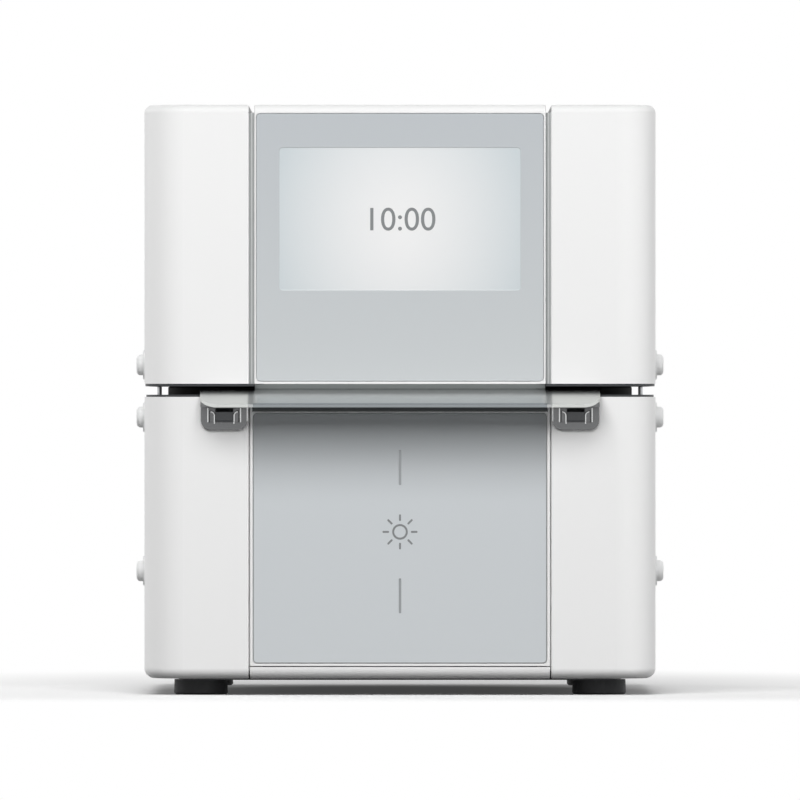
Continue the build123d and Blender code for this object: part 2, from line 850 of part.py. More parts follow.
def casing_plate(level, thickness, inset):
    """Flat plate across the casing at a level, open at the chamber and the hinges."""
    with BuildPart() as plate:
        with BuildSketch(Plane.XY.offset(level)):
            with Locations((0, centre_y)):
                RectangleRounded(
                    casing_width - 2 * inset, casing_depth - 2 * inset, casing_corner - inset
                )
                RectangleRounded(
                    chamber_width + 2 * (chamber_wall + fit),
                    chamber_depth + 2 * (chamber_wall + fit),
                    chamber_corner,
                    mode=Mode.SUBTRACT,
                )
            with Locations([(x, rear_y - hinge_notch_depth / 2) for x in (-hinge_x, hinge_x)]):
                Rectangle(2 * hinge_notch_half, hinge_notch_depth, mode=Mode.SUBTRACT)
        extrude(amount=thickness)
    return plate.part


with BuildPart() as base_deck:
    add(casing_plate(base_top, deck_thickness, deck_inset))
    with BuildSketch(Plane.XY.offset(base_top)):
        with Locations([(x, front_y + catch_notch_depth / 2) for x in (-keeper_x, keeper_x)]):
            Rectangle(2 * catch_slot_half, catch_notch_depth)
        with Locations([(x, interlock_y) for x in pair(side_x - interlock_from_side).values()]):
            Circle(interlock_radius + fit)
    extrude(amount=deck_thickness, mode=Mode.SUBTRACT)
save(base_deck.part, "base_deck")

# The interlock plunger rises out of its switch as the lid leaves it.
switch_block_bottom = base_top - switch_block_height
plunger_bottom = switch_block_bottom + switch_block_floor + interlock_travel

for side, x in pair(side_x - interlock_from_side).items():
    with BuildPart() as interlock_switch:
        with BuildSketch(Plane.XY.offset(switch_block_bottom)):
            with Locations((x, interlock_y)):
                RectangleRounded(switch_block_width, switch_block_depth, switch_block_corner)
        extrude(amount=switch_block_height)
        with BuildSketch(Plane.XY.offset(base_top)):
            with Locations((x, interlock_y)):
                Circle(interlock_radius + interlock_slack)
        extrude(amount=switch_block_floor - switch_block_height, mode=Mode.SUBTRACT)
    save(interlock_switch.part, f"interlock_switch_{side}")
    with BuildPart() as interlock_pin:
        with BuildSketch(Plane.XY.offset(plunger_bottom)):
            with Locations((x, interlock_y)):
                Circle(interlock_radius)
        extrude(amount=lid_plate_bottom - plunger_bottom)
        chamfer(interlock_pin.edges().group_by(Axis.Z)[-1], interlock_bevel)
    save(interlock_pin.part, f"interlock_pin_{side}")

# ---------------------------------------------------------------- chamber
chamber_floor_width = chamber_width - 2 * chamber_draft
chamber_floor_depth = chamber_depth - 2 * chamber_draft
light_width = chamber_floor_width - 2 * light_inset
light_depth = chamber_floor_depth - 2 * light_inset
tub_floor = deck_top - chamber_height
dome_floor = lid_bottom + chamber_height
tray_spread = 2 * (chamber_draft * tray_height / chamber_height - tray_gap)
seal_inner_width = chamber_width + 2 * (chamber_flange + seal_gap)
seal_inner_depth = chamber_depth + 2 * (chamber_flange + seal_gap)

with BuildPart() as chamber_seal:
    with BuildSketch(Plane.XY.offset(deck_top)):
        with Locations((0, centre_y)):
            for band, mode in ((seal_band, Mode.ADD), (0, Mode.SUBTRACT)):
                RectangleRounded(
                    seal_inner_width + 2 * band,
                    seal_inner_depth + 2 * band,
                    seal_corner,
                    mode=mode,
                )
    extrude(amount=lid_gap)
    chamfer(chamber_seal.edges().group_by(Axis.Z)[-1], edge_round)
save(chamber_seal.part, "chamber_seal")


def chamber_shell(mouth_z, direction):
    """Drafted mirror shell that opens at mouth_z and runs down (-1) or up (1)."""
    floor_z = mouth_z + direction * chamber_height
    with BuildPart() as shell:
        for wall, mode in ((chamber_wall, Mode.ADD), (0, Mode.SUBTRACT)):
            with BuildSketch(Plane.XY.offset(mouth_z)):
                with Locations((0, centre_y)):
                    RectangleRounded(
                        chamber_width + 2 * wall, chamber_depth + 2 * wall, chamber_corner
                    )
            with BuildSketch(Plane.XY.offset(floor_z - direction * (chamber_wall - wall))):
                with Locations((0, centre_y)):
                    RectangleRounded(
                        chamber_floor_width + 2 * wall,
                        chamber_floor_depth + 2 * wall,
                        chamber_corner,
                    )
            loft(mode=mode)
        with BuildSketch(Plane.XY.offset(mouth_z)):
            with Locations((0, centre_y)):
                RectangleRounded(
                    chamber_width + 2 * chamber_flange,
                    chamber_depth + 2 * chamber_flange,
                    chamber_corner + chamber_flange,
                )
                RectangleRounded(chamber_width, chamber_depth, chamber_corner, mode=Mode.SUBTRACT)
        extrude(amount=chamber_wall)
        with BuildSketch(Plane.XY.offset(floor_z)):
            with Locations((0, centre_y)):
                RectangleRounded(light_width, light_depth, light_corner)
        extrude(amount=2 * chamber_wall, both=True, mode=Mode.SUBTRACT)
    return shell.part


with BuildPart() as chamber_tub:
    add(chamber_shell(deck_top, -1))
    with BuildSketch(Plane.XY.offset(tub_floor)):
        with Locations((0, centre_y)):
            with GridLocations(
                chamber_floor_width - 2 * peg_inset, chamber_floor_depth - 2 * peg_inset, 2, 2
            ):
                Circle(peg_radius)
    extrude(amount=tray_height)
save(chamber_tub.part, "chamber_tub")
save(chamber_shell(lid_bottom, 1), "lid_dome")

with BuildPart() as glass_tray:
    with BuildSketch(Plane.XY.offset(tub_floor + tray_height)):
        with Locations((0, centre_y)):
            RectangleRounded(
                chamber_floor_width + tray_spread, chamber_floor_depth + tray_spread, chamber_corner
            )
    extrude(amount=tray_thickness)
    chamfer(glass_tray.edges().group_by(Axis.Z)[-1], edge_round)
save(glass_tray.part, "glass_tray")

# ---------------------------------------------------------------- light engines
sink_width = chamber_floor_width - 2 * sink_inset
sink_depth = chamber_floor_depth - 2 * sink_inset
fin_step = (sink_width - 2 * light_corner) / (fin_count - 1)
emitter_step_x = (light_width - 2 * emitter_margin) / (emitter_column_count - 1)
emitter_step_y = (light_depth - 2 * emitter_margin) / (emitter_row_count - 1)


def light_window(floor_z, direction):
    """Flat glass over the light opening, on the chamber's outer side."""
    with BuildPart() as window:
        with BuildSketch(Plane.XY.offset(floor_z)):
            with Locations((0, centre_y)):
                RectangleRounded(
                    light_width + 2 * light_window_margin,
                    light_depth + 2 * light_window_margin,
                    light_corner,
                )
        extrude(amount=direction * light_window_thickness)
    return window.part


def light_board(board_z, direction):
    """Board with a grid of square emitters that face the window."""
    with BuildPart() as board:
        with BuildSketch(Plane.XY.offset(board_z)):
            with Locations((0, centre_y)):
                RectangleRounded(light_width, light_depth, light_corner)
        extrude(amount=direction * board_thickness)
        with BuildSketch(Plane.XY.offset(board_z)):
            with Locations((0, centre_y)):
                with GridLocations(
                    emitter_step_x, emitter_step_y, emitter_column_count, emitter_row_count
                ):
                    Rectangle(emitter_size, emitter_size)
        extrude(amount=-direction * emitter_height)
    return board.part


def heat_sink(sink_z, direction):
    """Finned plate behind the board, on four posts that reach the chamber's floor."""
    with BuildPart() as sink:
        with BuildSketch(Plane.XY.offset(sink_z)):
            with Locations((0, centre_y)):
                RectangleRounded(sink_width, sink_depth, light_corner)
        extrude(amount=direction * sink_base)
        with BuildSketch(Plane.XY.offset(sink_z + direction * sink_base)):
            with Locations((0, centre_y)):
                with GridLocations(fin_step, 0, fin_count, 1):
                    Rectangle(fin_thickness, sink_depth)
        extrude(amount=direction * fin_height)
        with BuildSketch(Plane.XY.offset(sink_z)):
            with Locations((0, centre_y)):
                with GridLocations(
                    sink_width - 2 * sink_post_inset, sink_depth - 2 * sink_post_inset, 2, 2
                ):
                    Circle(sink_post_radius)
        extrude(amount=-direction * (board_thickness + board_gap + light_window_thickness))
    return sink.part


for name, window_name, floor_z, direction in (
    ("base", "tub_window", tub_floor, -1),
    ("lid", "dome_window", dome_floor, 1),
):
    board_z = floor_z + direction * (light_window_thickness + board_gap)
    save(light_window(floor_z, direction), window_name)
    save(light_board(board_z, direction), f"{name}_led_board")
    save(heat_sink(board_z + direction * board_thickness, direction), f"{name}_heat_sink")

# ---------------------------------------------------------------- fans
rotor_depth = fan_depth - fan_boss_depth - 2 * fan_end_gap
rotor_low = fan_boss_depth + fan_end_gap
blade_middle = rotor_low + rotor_depth / 2
fan_back_y = leaf_face_y - rear_panel_thickness - fan_depth

# A fan's own axis is local Z, which points out of the rear panel once placed.
with BuildPart() as fan_frame:
    with BuildSketch(Plane.XY):
        RectangleRounded(fan_size, fan_size, fan_corner)
        Circle(fan_bore, mode=Mode.SUBTRACT)
        with GridLocations(fan_hole_spacing, fan_hole_spacing, 2, 2):
            Circle(screw_radius + screw_slack, mode=Mode.SUBTRACT)
    extrude(amount=fan_depth)
    with BuildSketch(Plane.XY):
        Circle(fan_hub_radius)
        with PolarLocations(0, 4, start_angle=45):
            with Locations(((fan_hub_radius + fan_bore) / 2, 0)):
                Rectangle(fan_bore - fan_hub_radius + fan_strut_width, fan_strut_width)
    extrude(amount=fan_boss_depth)
    with BuildSketch(Plane.XY.offset(fan_boss_depth)):
        Circle(fan_axle_radius)
    extrude(amount=fan_axle_length)

with BuildPart() as fan_rotor:
    blade_sections = (
        (fan_hub_radius - blade_seat, blade_root_chord, blade_root_angle),
        (fan_bore - fan_tip_gap, blade_tip_chord, blade_tip_angle),
    )
    for radius, chord, angle in blade_sections:
        across = Plane(origin=(radius, 0, blade_middle), x_dir=(0, 1, 0), z_dir=(1, 0, 0))
        with BuildSketch(across):
            Rectangle(chord, blade_thickness, rotation=angle)
    blade = loft()
    with PolarLocations(0, blade_count):
        add(blade)
    with BuildSketch(Plane.XY.offset(rotor_low)):
        Circle(fan_bore - fan_tip_gap)
    extrude(amount=rotor_depth, mode=Mode.INTERSECT)
    with BuildSketch(Plane.XY.offset(rotor_low)):
        Circle(fan_hub_radius)
    extrude(amount=rotor_depth)
    chamfer(fan_rotor.faces().sort_by(Axis.Z)[-1].edges(), edge_round)
    with BuildSketch(Plane.XY.offset(rotor_low)):
        Circle(fan_axle_radius + fan_axle_slack)
    extrude(amount=fan_axle_length, mode=Mode.SUBTRACT)

for name, (x, z) in {"base": (base_fan_x, base_fan_z), "lid": (lid_fan_x, lid_fan_z)}.items():
    fan_place = Plane(origin=(x, fan_back_y, z), x_dir=(-1, 0, 0), z_dir=(0, 1, 0)).location
    save(fan_place * fan_frame.part, f"{name}_fan_frame")
    save(fan_place * fan_rotor.part, f"{name}_fan_rotor")

# ---------------------------------------------------------------- power parts in the base
supply_y = centre_y - supply_from_centre
driver_y = centre_y + driver_from_centre
driver_level = base_bottom + stand_off

with BuildPart() as power_supply:
    with BuildSketch(Plane.XY.offset(base_bottom)):
        with Locations((supply_x, supply_y)):
            Rectangle(supply_width, supply_depth)
    extrude(amount=supply_height)
    with BuildSketch(Plane.XY.offset(base_bottom)):
        with Locations((supply_x, supply_y + (supply_depth + terminal_depth) / 2)):
            Rectangle(terminal_width, terminal_depth)
    extrude(amount=terminal_height)
save(power_supply.part, "power_supply")

with BuildPart() as driver_board:
    with BuildSketch(Plane.XY.offset(driver_level)):
        with Locations((driver_x, driver_y)):
            Rectangle(driver_width, driver_depth)
    extrude(amount=board_thickness)
    with BuildSketch(Plane.XY.offset(base_bottom)):
        with Locations((driver_x, driver_y)):
            with GridLocations(
                driver_width - 2 * stand_off_inset, driver_depth - 2 * stand_off_inset, 2, 2
            ):
                Circle(stand_off_radius)
    extrude(amount=stand_off)
    with BuildSketch(Plane.XY.offset(driver_level + board_thickness)):
        with Locations((driver_x, driver_y)):
            with GridLocations(coil_spacing, 0, coil_count, 1):
                Circle(coil_radius)
    extrude(amount=coil_height)
save(driver_board.part, "driver_board")

with BuildPart() as power_inlet:
    with BuildSketch(outside):
        with Locations((-inlet_x, inlet_z)):
            RectangleRounded(inlet_width + 2 * inlet_lip, inlet_height + 2 * inlet_lip, inlet_corner)
    extrude(amount=inlet_flange)
    with BuildSketch(outside):
        with Locations((-inlet_x, inlet_z)):
            Rectangle(inlet_width, inlet_height)
    extrude(amount=-inlet_body_depth)
    with BuildSketch(outside.offset(inlet_flange)):
        with Locations((-inlet_x, inlet_z)):
            RectangleRounded(inlet_mouth_width, inlet_mouth_height, inlet_corner)
    extrude(amount=-inlet_mouth_depth, mode=Mode.SUBTRACT)
    with BuildSketch(outside.offset(inlet_flange - inlet_mouth_depth)):
        with Locations((-inlet_x, inlet_z)):
            with GridLocations(contact_spacing, 0, contact_count, 1):
                Rectangle(contact_width, contact_height)
    extrude(amount=contact_length)
save(power_inlet.part, "power_inlet")

rocker_y = leaf_face_y - rear_panel_thickness / 2

with BuildPart() as switch_housing:
    with BuildSketch(outside):
        with Locations((-switch_x, switch_z)):
            RectangleRounded(
                switch_width + 2 * switch_lip, switch_height + 2 * switch_lip, switch_corner
            )
    extrude(amount=switch_flange)
    with BuildSketch(outside):
        with Locations((-switch_x, switch_z)):
            Rectangle(switch_width, switch_height)
    extrude(amount=-switch_depth)
    with BuildSketch(outside.offset(switch_flange)):
        with Locations((-switch_x, switch_z)):
            Rectangle(rocker_width + 2 * rocker_gap, 2 * (rocker_radius + rocker_gap))
    extrude(amount=-switch_depth, mode=Mode.SUBTRACT)
    with BuildSketch(Plane.YZ.offset(switch_x - switch_width / 2)):
        with Locations((rocker_y, switch_z)):
            Circle(rocker_pin_radius + rocker_slack)
    extrude(amount=switch_width, mode=Mode.SUBTRACT)
save(switch_housing.part, "switch_housing")

with BuildPart() as rocker:
    with BuildSketch(Plane.YZ.offset(-rocker_width / 2)):
        Circle(rocker_radius)
        Polygon(
            (-rocker_back, -rocker_radius),
            (rocker_tip, -rocker_radius),
            (rocker_waist, 0),
            (rocker_tip, rocker_radius),
            (-rocker_back, rocker_radius),
            align=None,
            mode=Mode.INTERSECT,
        )
    extrude(amount=rocker_width)
    with BuildSketch(Plane.YZ.offset(-rocker_width / 2 - rocker_pin_length)):
        Circle(rocker_pin_radius)
    extrude(amount=rocker_width + 2 * rocker_pin_length)
save(Pos(switch_x, rocker_y, switch_z) * Rot(rocker_tilt, 0, 0) * rocker.part, "power_rocker")

# ---------------------------------------------------------------- lid casing
lid_panel_half = lid_cover_half - lid_panel_border
lid_panel_bottom = lid_bottom + lid_panel_bottom_border
lid_panel_height = lid_top - lid_panel_top_border - lid_panel_bottom
lid_panel_middle = lid_panel_bottom + lid_panel_height / 2
handle_notch_depth = cover_thickness + handle_thickness + fit

with BuildPart() as lid_plate:
    add(casing_plate(lid_plate_bottom, lid_plate_thickness, plate_inset))
    with BuildSketch(Plane.XY.offset(lid_plate_bottom)):
        with Locations((0, front_y + handle_notch_depth / 2)):
            Rectangle(2 * (tongue_half + fit), handle_notch_depth)
    extrude(amount=lid_plate_thickness, mode=Mode.SUBTRACT)
save(lid_plate.part, "lid_plate")

lid_shell_right = cap_holes(side_shell(lid_half), lid_cap_spots)
save(lid_shell_right, "lid_shell_right")
save(mirrored(lid_shell_right), "lid_shell_left")
save(side_caps(lid_cap_spots), "lid_side_caps")

# The centre cover wraps over the front and the top, and ends in a short lip at the rear.
with BuildPart() as cover_slab:
    add(casing_slab(lid_half, -lid_cover_half, lid_cover_half, rounded_sides=(0, -1)))
    add(casing_block(lid_half, cover_thickness, below=1), mode=Mode.SUBTRACT)
    with BuildSketch(Plane.XY.offset(lid_bottom)):
        with Locations((0, rear_y - casing_corner / 2)):
            Rectangle(casing_width, casing_corner)
    extrude(amount=rear_cover_bottom - lid_bottom, mode=Mode.SUBTRACT)
save(
    framed_opening(cover_slab.part, lid_panel_half, lid_panel_middle, lid_panel_height),
    "lid_front_cover",
)

# ---------------------------------------------------------------- lid: display
display_top = lid_panel_bottom + lid_panel_height - ledge_margin - display_top_gap
display_middle = display_top - display_height / 2
display_width = 2 * (lid_panel_half - ledge_margin - display_side_gap)
control_width = display_width - 2 * control_side_inset
control_height = display_height - 2 * control_end_inset
module_back = front.offset(-panel_recess - display_depth)

with BuildPart() as display_glass:
    with BuildSketch(front.offset(-panel_recess)):
        with Locations((0, lid_panel_middle)):
            RectangleRounded(2 * lid_panel_half, lid_panel_height, panel_corner)
    extrude(amount=panel_thickness)
save(display_glass.part, "display_glass")

with BuildPart() as display_module:
    with BuildSketch(front.offset(-panel_recess)):
        with Locations((0, display_middle)):
            RectangleRounded(display_width, display_height, panel_corner)
    extrude(amount=-display_depth)
    with BuildSketch(module_back):
        with Locations((0, display_middle)):
            with GridLocations(
                control_width - 2 * stand_off_inset, control_height - 2 * stand_off_inset, 2, 2
            ):
                Circle(stand_off_radius)
    extrude(amount=-stand_off)
save(display_module.part, "display_module")

with BuildPart() as control_board:
    with BuildSketch(module_back.offset(-stand_off)):
        with Locations((0, display_middle)):
            RectangleRounded(control_width, control_height, panel_corner)
    extrude(amount=-board_thickness)
save(control_board.part, "control_board")
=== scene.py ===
# %% [markdown]
# # Dressing a benchtop light curing unit
# The unit is a white moulded base and lid round a mirrored chamber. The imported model
# already holds every part at its true place, so this script gives each part its finish,
# softens the edges that catch the light, and models what is too fine for the part
# itself: screw heads, domed caps, lenses and print.

# %% Load the fixed frame
import json
import math

import bpy
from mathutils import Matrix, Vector


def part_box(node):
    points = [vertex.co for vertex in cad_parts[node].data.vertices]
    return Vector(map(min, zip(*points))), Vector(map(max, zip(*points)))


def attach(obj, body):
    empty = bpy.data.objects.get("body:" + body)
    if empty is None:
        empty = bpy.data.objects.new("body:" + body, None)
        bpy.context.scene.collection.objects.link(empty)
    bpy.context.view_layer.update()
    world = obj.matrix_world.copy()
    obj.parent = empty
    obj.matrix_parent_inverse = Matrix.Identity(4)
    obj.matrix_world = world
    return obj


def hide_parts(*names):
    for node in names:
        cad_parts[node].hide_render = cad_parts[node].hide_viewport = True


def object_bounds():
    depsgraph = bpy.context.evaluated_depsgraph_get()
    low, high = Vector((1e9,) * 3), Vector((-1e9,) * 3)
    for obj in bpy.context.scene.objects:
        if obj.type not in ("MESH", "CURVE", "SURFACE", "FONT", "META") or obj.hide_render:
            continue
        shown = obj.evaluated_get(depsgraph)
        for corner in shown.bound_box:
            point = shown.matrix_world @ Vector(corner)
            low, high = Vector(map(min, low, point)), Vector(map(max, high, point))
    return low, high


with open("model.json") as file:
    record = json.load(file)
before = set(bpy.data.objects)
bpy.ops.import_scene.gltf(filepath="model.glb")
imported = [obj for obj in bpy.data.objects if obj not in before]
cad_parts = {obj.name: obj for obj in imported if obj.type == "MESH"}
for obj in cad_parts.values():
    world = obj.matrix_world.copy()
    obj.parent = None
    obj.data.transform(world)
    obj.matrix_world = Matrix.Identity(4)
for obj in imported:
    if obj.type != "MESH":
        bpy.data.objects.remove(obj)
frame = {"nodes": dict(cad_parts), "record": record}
cad_low, cad_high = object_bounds()
nodes = frame["nodes"]
print("nodes:", len(nodes), "box:", [round(v, 4) for v in (*cad_low, *cad_high)])

MM = 0.001

# %% [markdown]
# ## Working by hand, in code
# A new primitive is always selected, and so is everything that was just loaded. Each
# piece therefore starts from an empty selection, and ends with its place written into
# its mesh, so that its object stands unturned at the origin.


# %% Selection
def deselect():
    """Nothing stays selected, so the next operator acts on one piece alone."""
    if bpy.context.object and bpy.context.object.mode != "OBJECT":
        bpy.ops.object.mode_set(mode="OBJECT")
    bpy.ops.object.select_all(action="DESELECT")


def pick(piece):
    """Makes one piece the only selected and active object."""
    deselect()
    piece.select_set(True)
    bpy.context.view_layer.objects.active = piece


def select_faces(test):
    """In edit mode, selects the faces whose centre and normal pass a test."""
    piece = bpy.context.object
    bpy.ops.mesh.select_mode(type="FACE")
    bpy.ops.mesh.select_all(action="DESELECT")
    bpy.ops.object.mode_set(mode="OBJECT")
    for face in piece.data.polygons:
        face.select = test(face.center, face.normal)
    bpy.ops.object.mode_set(mode="EDIT")


# %% Modifiers, copies and joins
def apply_modifier(piece, kind, **settings):
    """Adds one modifier with its settings and applies it."""
    pick(piece)
    modifier = piece.modifiers.new(kind.title(), kind)
    for name, value in settings.items():
        setattr(modifier, name, value)
    bpy.ops.object.modifier_apply(modifier=modifier.name)


def copies(piece, places):
    """One piece at each place, every copy with its own mesh, joined into a single object."""
    made = []
    for place in places:
        twin = piece.copy()
        twin.data = piece.data.copy()
        twin.location = place
        bpy.context.scene.collection.objects.link(twin)
        made.append(twin)
    bpy.data.objects.remove(piece)
    return join(made)


def join(parts):
    """Several objects made into one, with their places kept."""
    deselect()
    for part in parts:
        part.select_set(True)
    bpy.context.view_layer.objects.active = parts[0]
    if len(parts) > 1:
        bpy.ops.object.join()
    return bpy.context.object


def settle(piece, name, body, finish):
    """Names a finished piece, bakes its place into its mesh and hands it to its body."""
    pick(piece)
    bpy.ops.object.transform_apply(location=True, rotation=True, scale=True)
    piece.name = name
    piece.data.name = name
    piece.data.materials.clear()
    piece.data.materials.append(finish.material)
    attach(piece, body)
    return piece


# %% [markdown]
# ## Shader maths as plain arithmetic
# A finish is easier to read as a formula than as a web of nodes. `Value` wraps one
# socket, and its operators add Math nodes, so `1 - mask * 0.4` is written just so.


# %% A value in a node tree
class Value:
    """One output socket that can be added, multiplied and compared."""

    def __init__(self, paint, socket):
        self.paint = paint
        self.socket = socket

    def maths(self, operation, first, second=0.0):
        return self.paint.node("ShaderNodeMath", {"operation": operation}, {0: first, 1: second})

    def __add__(self, other):
        return self.maths("ADD", self, other)

    def __sub__(self, other):
        return self.maths("SUBTRACT", self, other)

    def __rsub__(self, other):
        return self.maths("SUBTRACT", other, self)

    def __mul__(self, other):
        return self.maths("MULTIPLY", self, other)

    def __truediv__(self, other):
        return self.maths("DIVIDE", self, other)

    def __gt__(self, other):
        return self.maths("GREATER_THAN", self, other)

    def __lt__(self, other):
        return self.maths("LESS_THAN", self, other)

    def __abs__(self):
        return self.maths("ABSOLUTE", self)

    __radd__ = __add__
    __rmul__ = __mul__

    def power(self, exponent):
        return self.maths("POWER", self, exponent)

    def sine(self):
        return self.maths("SINE", self)

    def at_least(self, other):
        return self.maths("MAXIMUM", self, other)

    def at_most(self, other):
        return self.maths("MINIMUM", self, other)

    def clamped(self):
        return self.at_least(0.0).at_most(1.0)


# %% A material under construction
class Paint:
    """A Principled material, with short ways to add nodes to it."""

    def __init__(self, name, colour, fixed=None):
        self.material = bpy.data.materials.new(name)
        self.material.use_nodes = True
        self.tree = self.material.node_tree
        self.shader = self.tree.nodes["Principled BSDF"]
        self.set("Base Color", colour)
        for socket, amount in (fixed or {}).items():
            self.set(socket, amount)

    def plug(self, socket, source):
        if isinstance(source, Value):
            self.tree.links.new(source.socket, socket)
        elif socket.type == "RGBA" and len(source) == 3:
            socket.default_value = (*source, 1)
        else:
            socket.default_value = source

    def set(self, socket, source):
        self.plug(self.shader.inputs[socket], source)

    def fed_by(self, socket):
        """What is plugged into one of the shader's sockets now."""
        return Value(self, self.shader.inputs[socket].links[0].from_socket)

    def node(self, kind, settings=None, sockets=None, output=0):
        made = self.tree.nodes.new(kind)
        for name, setting in (settings or {}).items():
            setattr(made, name, setting)
        for name, source in (sockets or {}).items():
            self.plug(made.inputs[name], source)
        return Value(self, made.outputs[output])

    def place(self, stretch=(1, 1, 1)):
        """Object coordinates in metres, squeezed or stretched along each axis."""
        here = self.node("ShaderNodeTexCoord", output="Object")
        sockets = {"Vector": here, "Scale": stretch}
        return self.node("ShaderNodeMapping", {"vector_type": "POINT"}, sockets)

    def axes(self):
        """The three object coordinates as separate values."""
        here = self.node("ShaderNodeTexCoord", output="Object")
        return [self.node("ShaderNodeSeparateXYZ", None, {0: here}, axis) for axis in "XYZ"]

    def noise(self, grains_per_metre, detail=3.0, stretch=(1, 1, 1)):
        sockets = {"Vector": self.place(stretch), "Scale": grains_per_metre, "Detail": detail}
        return self.node("ShaderNodeTexNoise", {"noise_dimensions": "3D"}, sockets)

    def blend(self, share, low, high):
        """A colour that runs from low to high as share goes from 0 to 1."""
        sockets = {"Factor": share, 6: low, 7: high}
        return self.node("ShaderNodeMix", {"data_type": "RGBA"}, sockets, output=2)

    def relief(self, height, depth, strength=1.0):
        """Raises the surface by a height field, in metres."""
        sockets = {"Height": height, "Distance": depth, "Strength": strength}
        self.set("Normal", self.node("ShaderNodeBump", None, sockets))
        return self


# %% [markdown]
# ## Moulded plastic
# The shells are injection moulded in white ABS. Tooling leaves a very fine texture that
# softens reflections, and thick and thin walls cool to slightly different whites. The
# same formula in other colours gives the caps, the black fans and the rubber feet.


# %% Plastics and rubber
def darker(colour, share):
    """The same colour at a share of its brightness."""
    return tuple(channel * share for channel in colour)


def moulded(name, colour, cloudiness, roughness, grain, depth):
    """Moulded plastic: cloudy colour, satin gloss and a fine tool texture."""
    paint = Paint(name, colour, {"IOR": 1.46})
    cloud = paint.noise(9.0, detail=2.0)
    fine = paint.noise(grain, detail=4.0)
    paint.set("Base Color", paint.blend(cloud, darker(colour, 1 - cloudiness), colour))
    paint.set("Roughness", roughness + (fine - 0.5) * 0.12)
    return paint.relief(fine, depth)


white_plastic = moulded("white_moulding", (0.90, 0.90, 0.898), 0.02, 0.44, 1900, 0.000008)
cap_plastic = moulded("cap_moulding", (0.83, 0.835, 0.835), 0.04, 0.42, 2400, 0.000010)
shell_plastic = moulded("shell_moulding", (0.90, 0.90, 0.898), 0.02, 0.44, 1900, 0.000008)
black_plastic = moulded("black_moulding", (0.030, 0.031, 0.033), 0.25, 0.45, 2600, 0.00003)
rubber = moulded("foot_rubber", (0.030, 0.031, 0.033), 0.30, 0.60, 1500, 0.00006)
seal_rubber = moulded("seal_rubber", (0.010, 0.010, 0.011), 0.30, 0.62, 1800, 0.00004)

# %% [markdown]
# ## Painted shade in the seams and on the crown
# Each seam of the lid is a shallow step beside the centre cover. Painted shade, a chosen
# grey, fills it, with a painted highlight as a lighter line for the step's ridge, because
# the step alone hardly shows. The lid's crown gets painted shade, a slightly greyer white,
# so that its outline stays readable.

# %% Shells with painted shade in the lid's seams
lid_edge_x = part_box("lid_front_cover")[1].x
strip_width, ridge_offset, ridge_half = 3.3 * MM, 1.7 * MM, 0.4 * MM
seam_shade_grey, ridge_highlight_grey = (0.38, 0.395, 0.395), (0.56, 0.57, 0.57)

x, _, z = shell_plastic.axes()
past_cover = abs(x) - lid_edge_x
strip = (past_cover < strip_width) * (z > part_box("lid_plate")[0].z)
ridge_highlight = abs(past_cover - ridge_offset) < ridge_half
# Painted shade fills the seam, with a painted highlight along its ridge
seam_shade_and_highlight = shell_plastic.blend(ridge_highlight, seam_shade_grey, ridge_highlight_grey)
shell_plastic.set("Base Color", shell_plastic.blend(strip, shell_plastic.fed_by("Base Color"), seam_shade_and_highlight))
print("seam strips:", round(strip_width / MM, 1), "mm wide, from x", round(lid_edge_x / MM, 1), "mm")


# %% Painted shade on the crown
def crown_painted_shade(paint):
    """Blends painted shade, a slightly greyer white, over the top of the lid."""
    crown_start, crown_height = cad_high.z - 5.5 * MM, 4.0 * MM
    share = ((paint.axes()[2] - crown_start) / crown_height).clamped()
    paint.set("Base Color", paint.blend(share, paint.fed_by("Base Color"), (0.72, 0.722, 0.72)))


crown_painted_shade(shell_plastic)
crown_painted_shade(white_plastic)

# %% [markdown]
# ## Metals and paint
# The handle is polished sheet with the faintest grain along the bend, so the noise is
# stretched in that direction only. Painted sheet carries a finer orange-peel texture.


# %% Metals
def brushed(name, colour, roughness, along, depth, grain=4200, uneven=0.10):
    """Bare metal with long fine scratches in one direction."""
    paint = Paint(name, colour, {"Metallic": 1.0})
    squeeze = 0.02
    stretch = tuple(squeeze if axis == along else 1.0 for axis in "XYZ")
    lines = paint.noise(grain, detail=5.0, stretch=stretch)
    smear = paint.noise(30, detail=3.0)
    paint.set("Base Color", paint.blend(lines, darker(colour, 0.94), colour))
    paint.set("Roughness", roughness + (lines - 0.5) * uneven + (smear - 0.5) * 0.04)
    return paint.relief(lines, depth)


def powder_coat(name, colour, roughness, peel):
    """Painted sheet metal: orange peel, slight cloudiness."""
    paint = Paint(name, colour)
    bumps = paint.noise(1300, detail=2.0)
    cloud = paint.noise(14, detail=2.0)
    paint.set("Base Color", paint.blend(cloud, darker(colour, 0.92), colour))
    paint.set("Roughness", roughness + (bumps - 0.5) * 0.15)
    return paint.relief(bumps, peel)


handle_metal = brushed("handle_steel", (0.62, 0.63, 0.63), 0.26, "X", 0.0000003, uneven=0.04)
screw_metal = brushed("zinc_screws", (0.60, 0.61, 0.62), 0.34, "Y", 0.000004)
hinge_metal = brushed("hinge_steel", (0.56, 0.57, 0.58), 0.32, "Z", 0.000004)
fin_metal = brushed("extruded_aluminium", (0.70, 0.71, 0.73), 0.38, "Y", 0.000006)
mirror_metal = brushed("polished_reflector", (0.90, 0.91, 0.92), 0.08, "Z", 0.0000005, uneven=0.04)
dark_plate = powder_coat("dark_deck_paint", (0.030, 0.033, 0.036), 0.42, 0.00002)
rear_paint = powder_coat("rear_panel_paint", (0.60, 0.61, 0.62), 0.5, 0.00003)

# %% [markdown]
# ## Painted reflection and shade on the handle
# The handle is one bent plate. Between its wings it gets a cooler, darker tone of painted
# reflection, with a thin line of darker painted reflection where the wings begin and dark
# painted shade along the roll of its lower edge. These tones are chosen, and masks on the
# object's own coordinates place them.

# %% Handle with its painted reflection and shade
handle_low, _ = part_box("handle")
middle_half, bend_half = 94.0 * MM, 97.2 * MM
roll_height, roll_softness = 3.0 * MM, 0.6 * MM

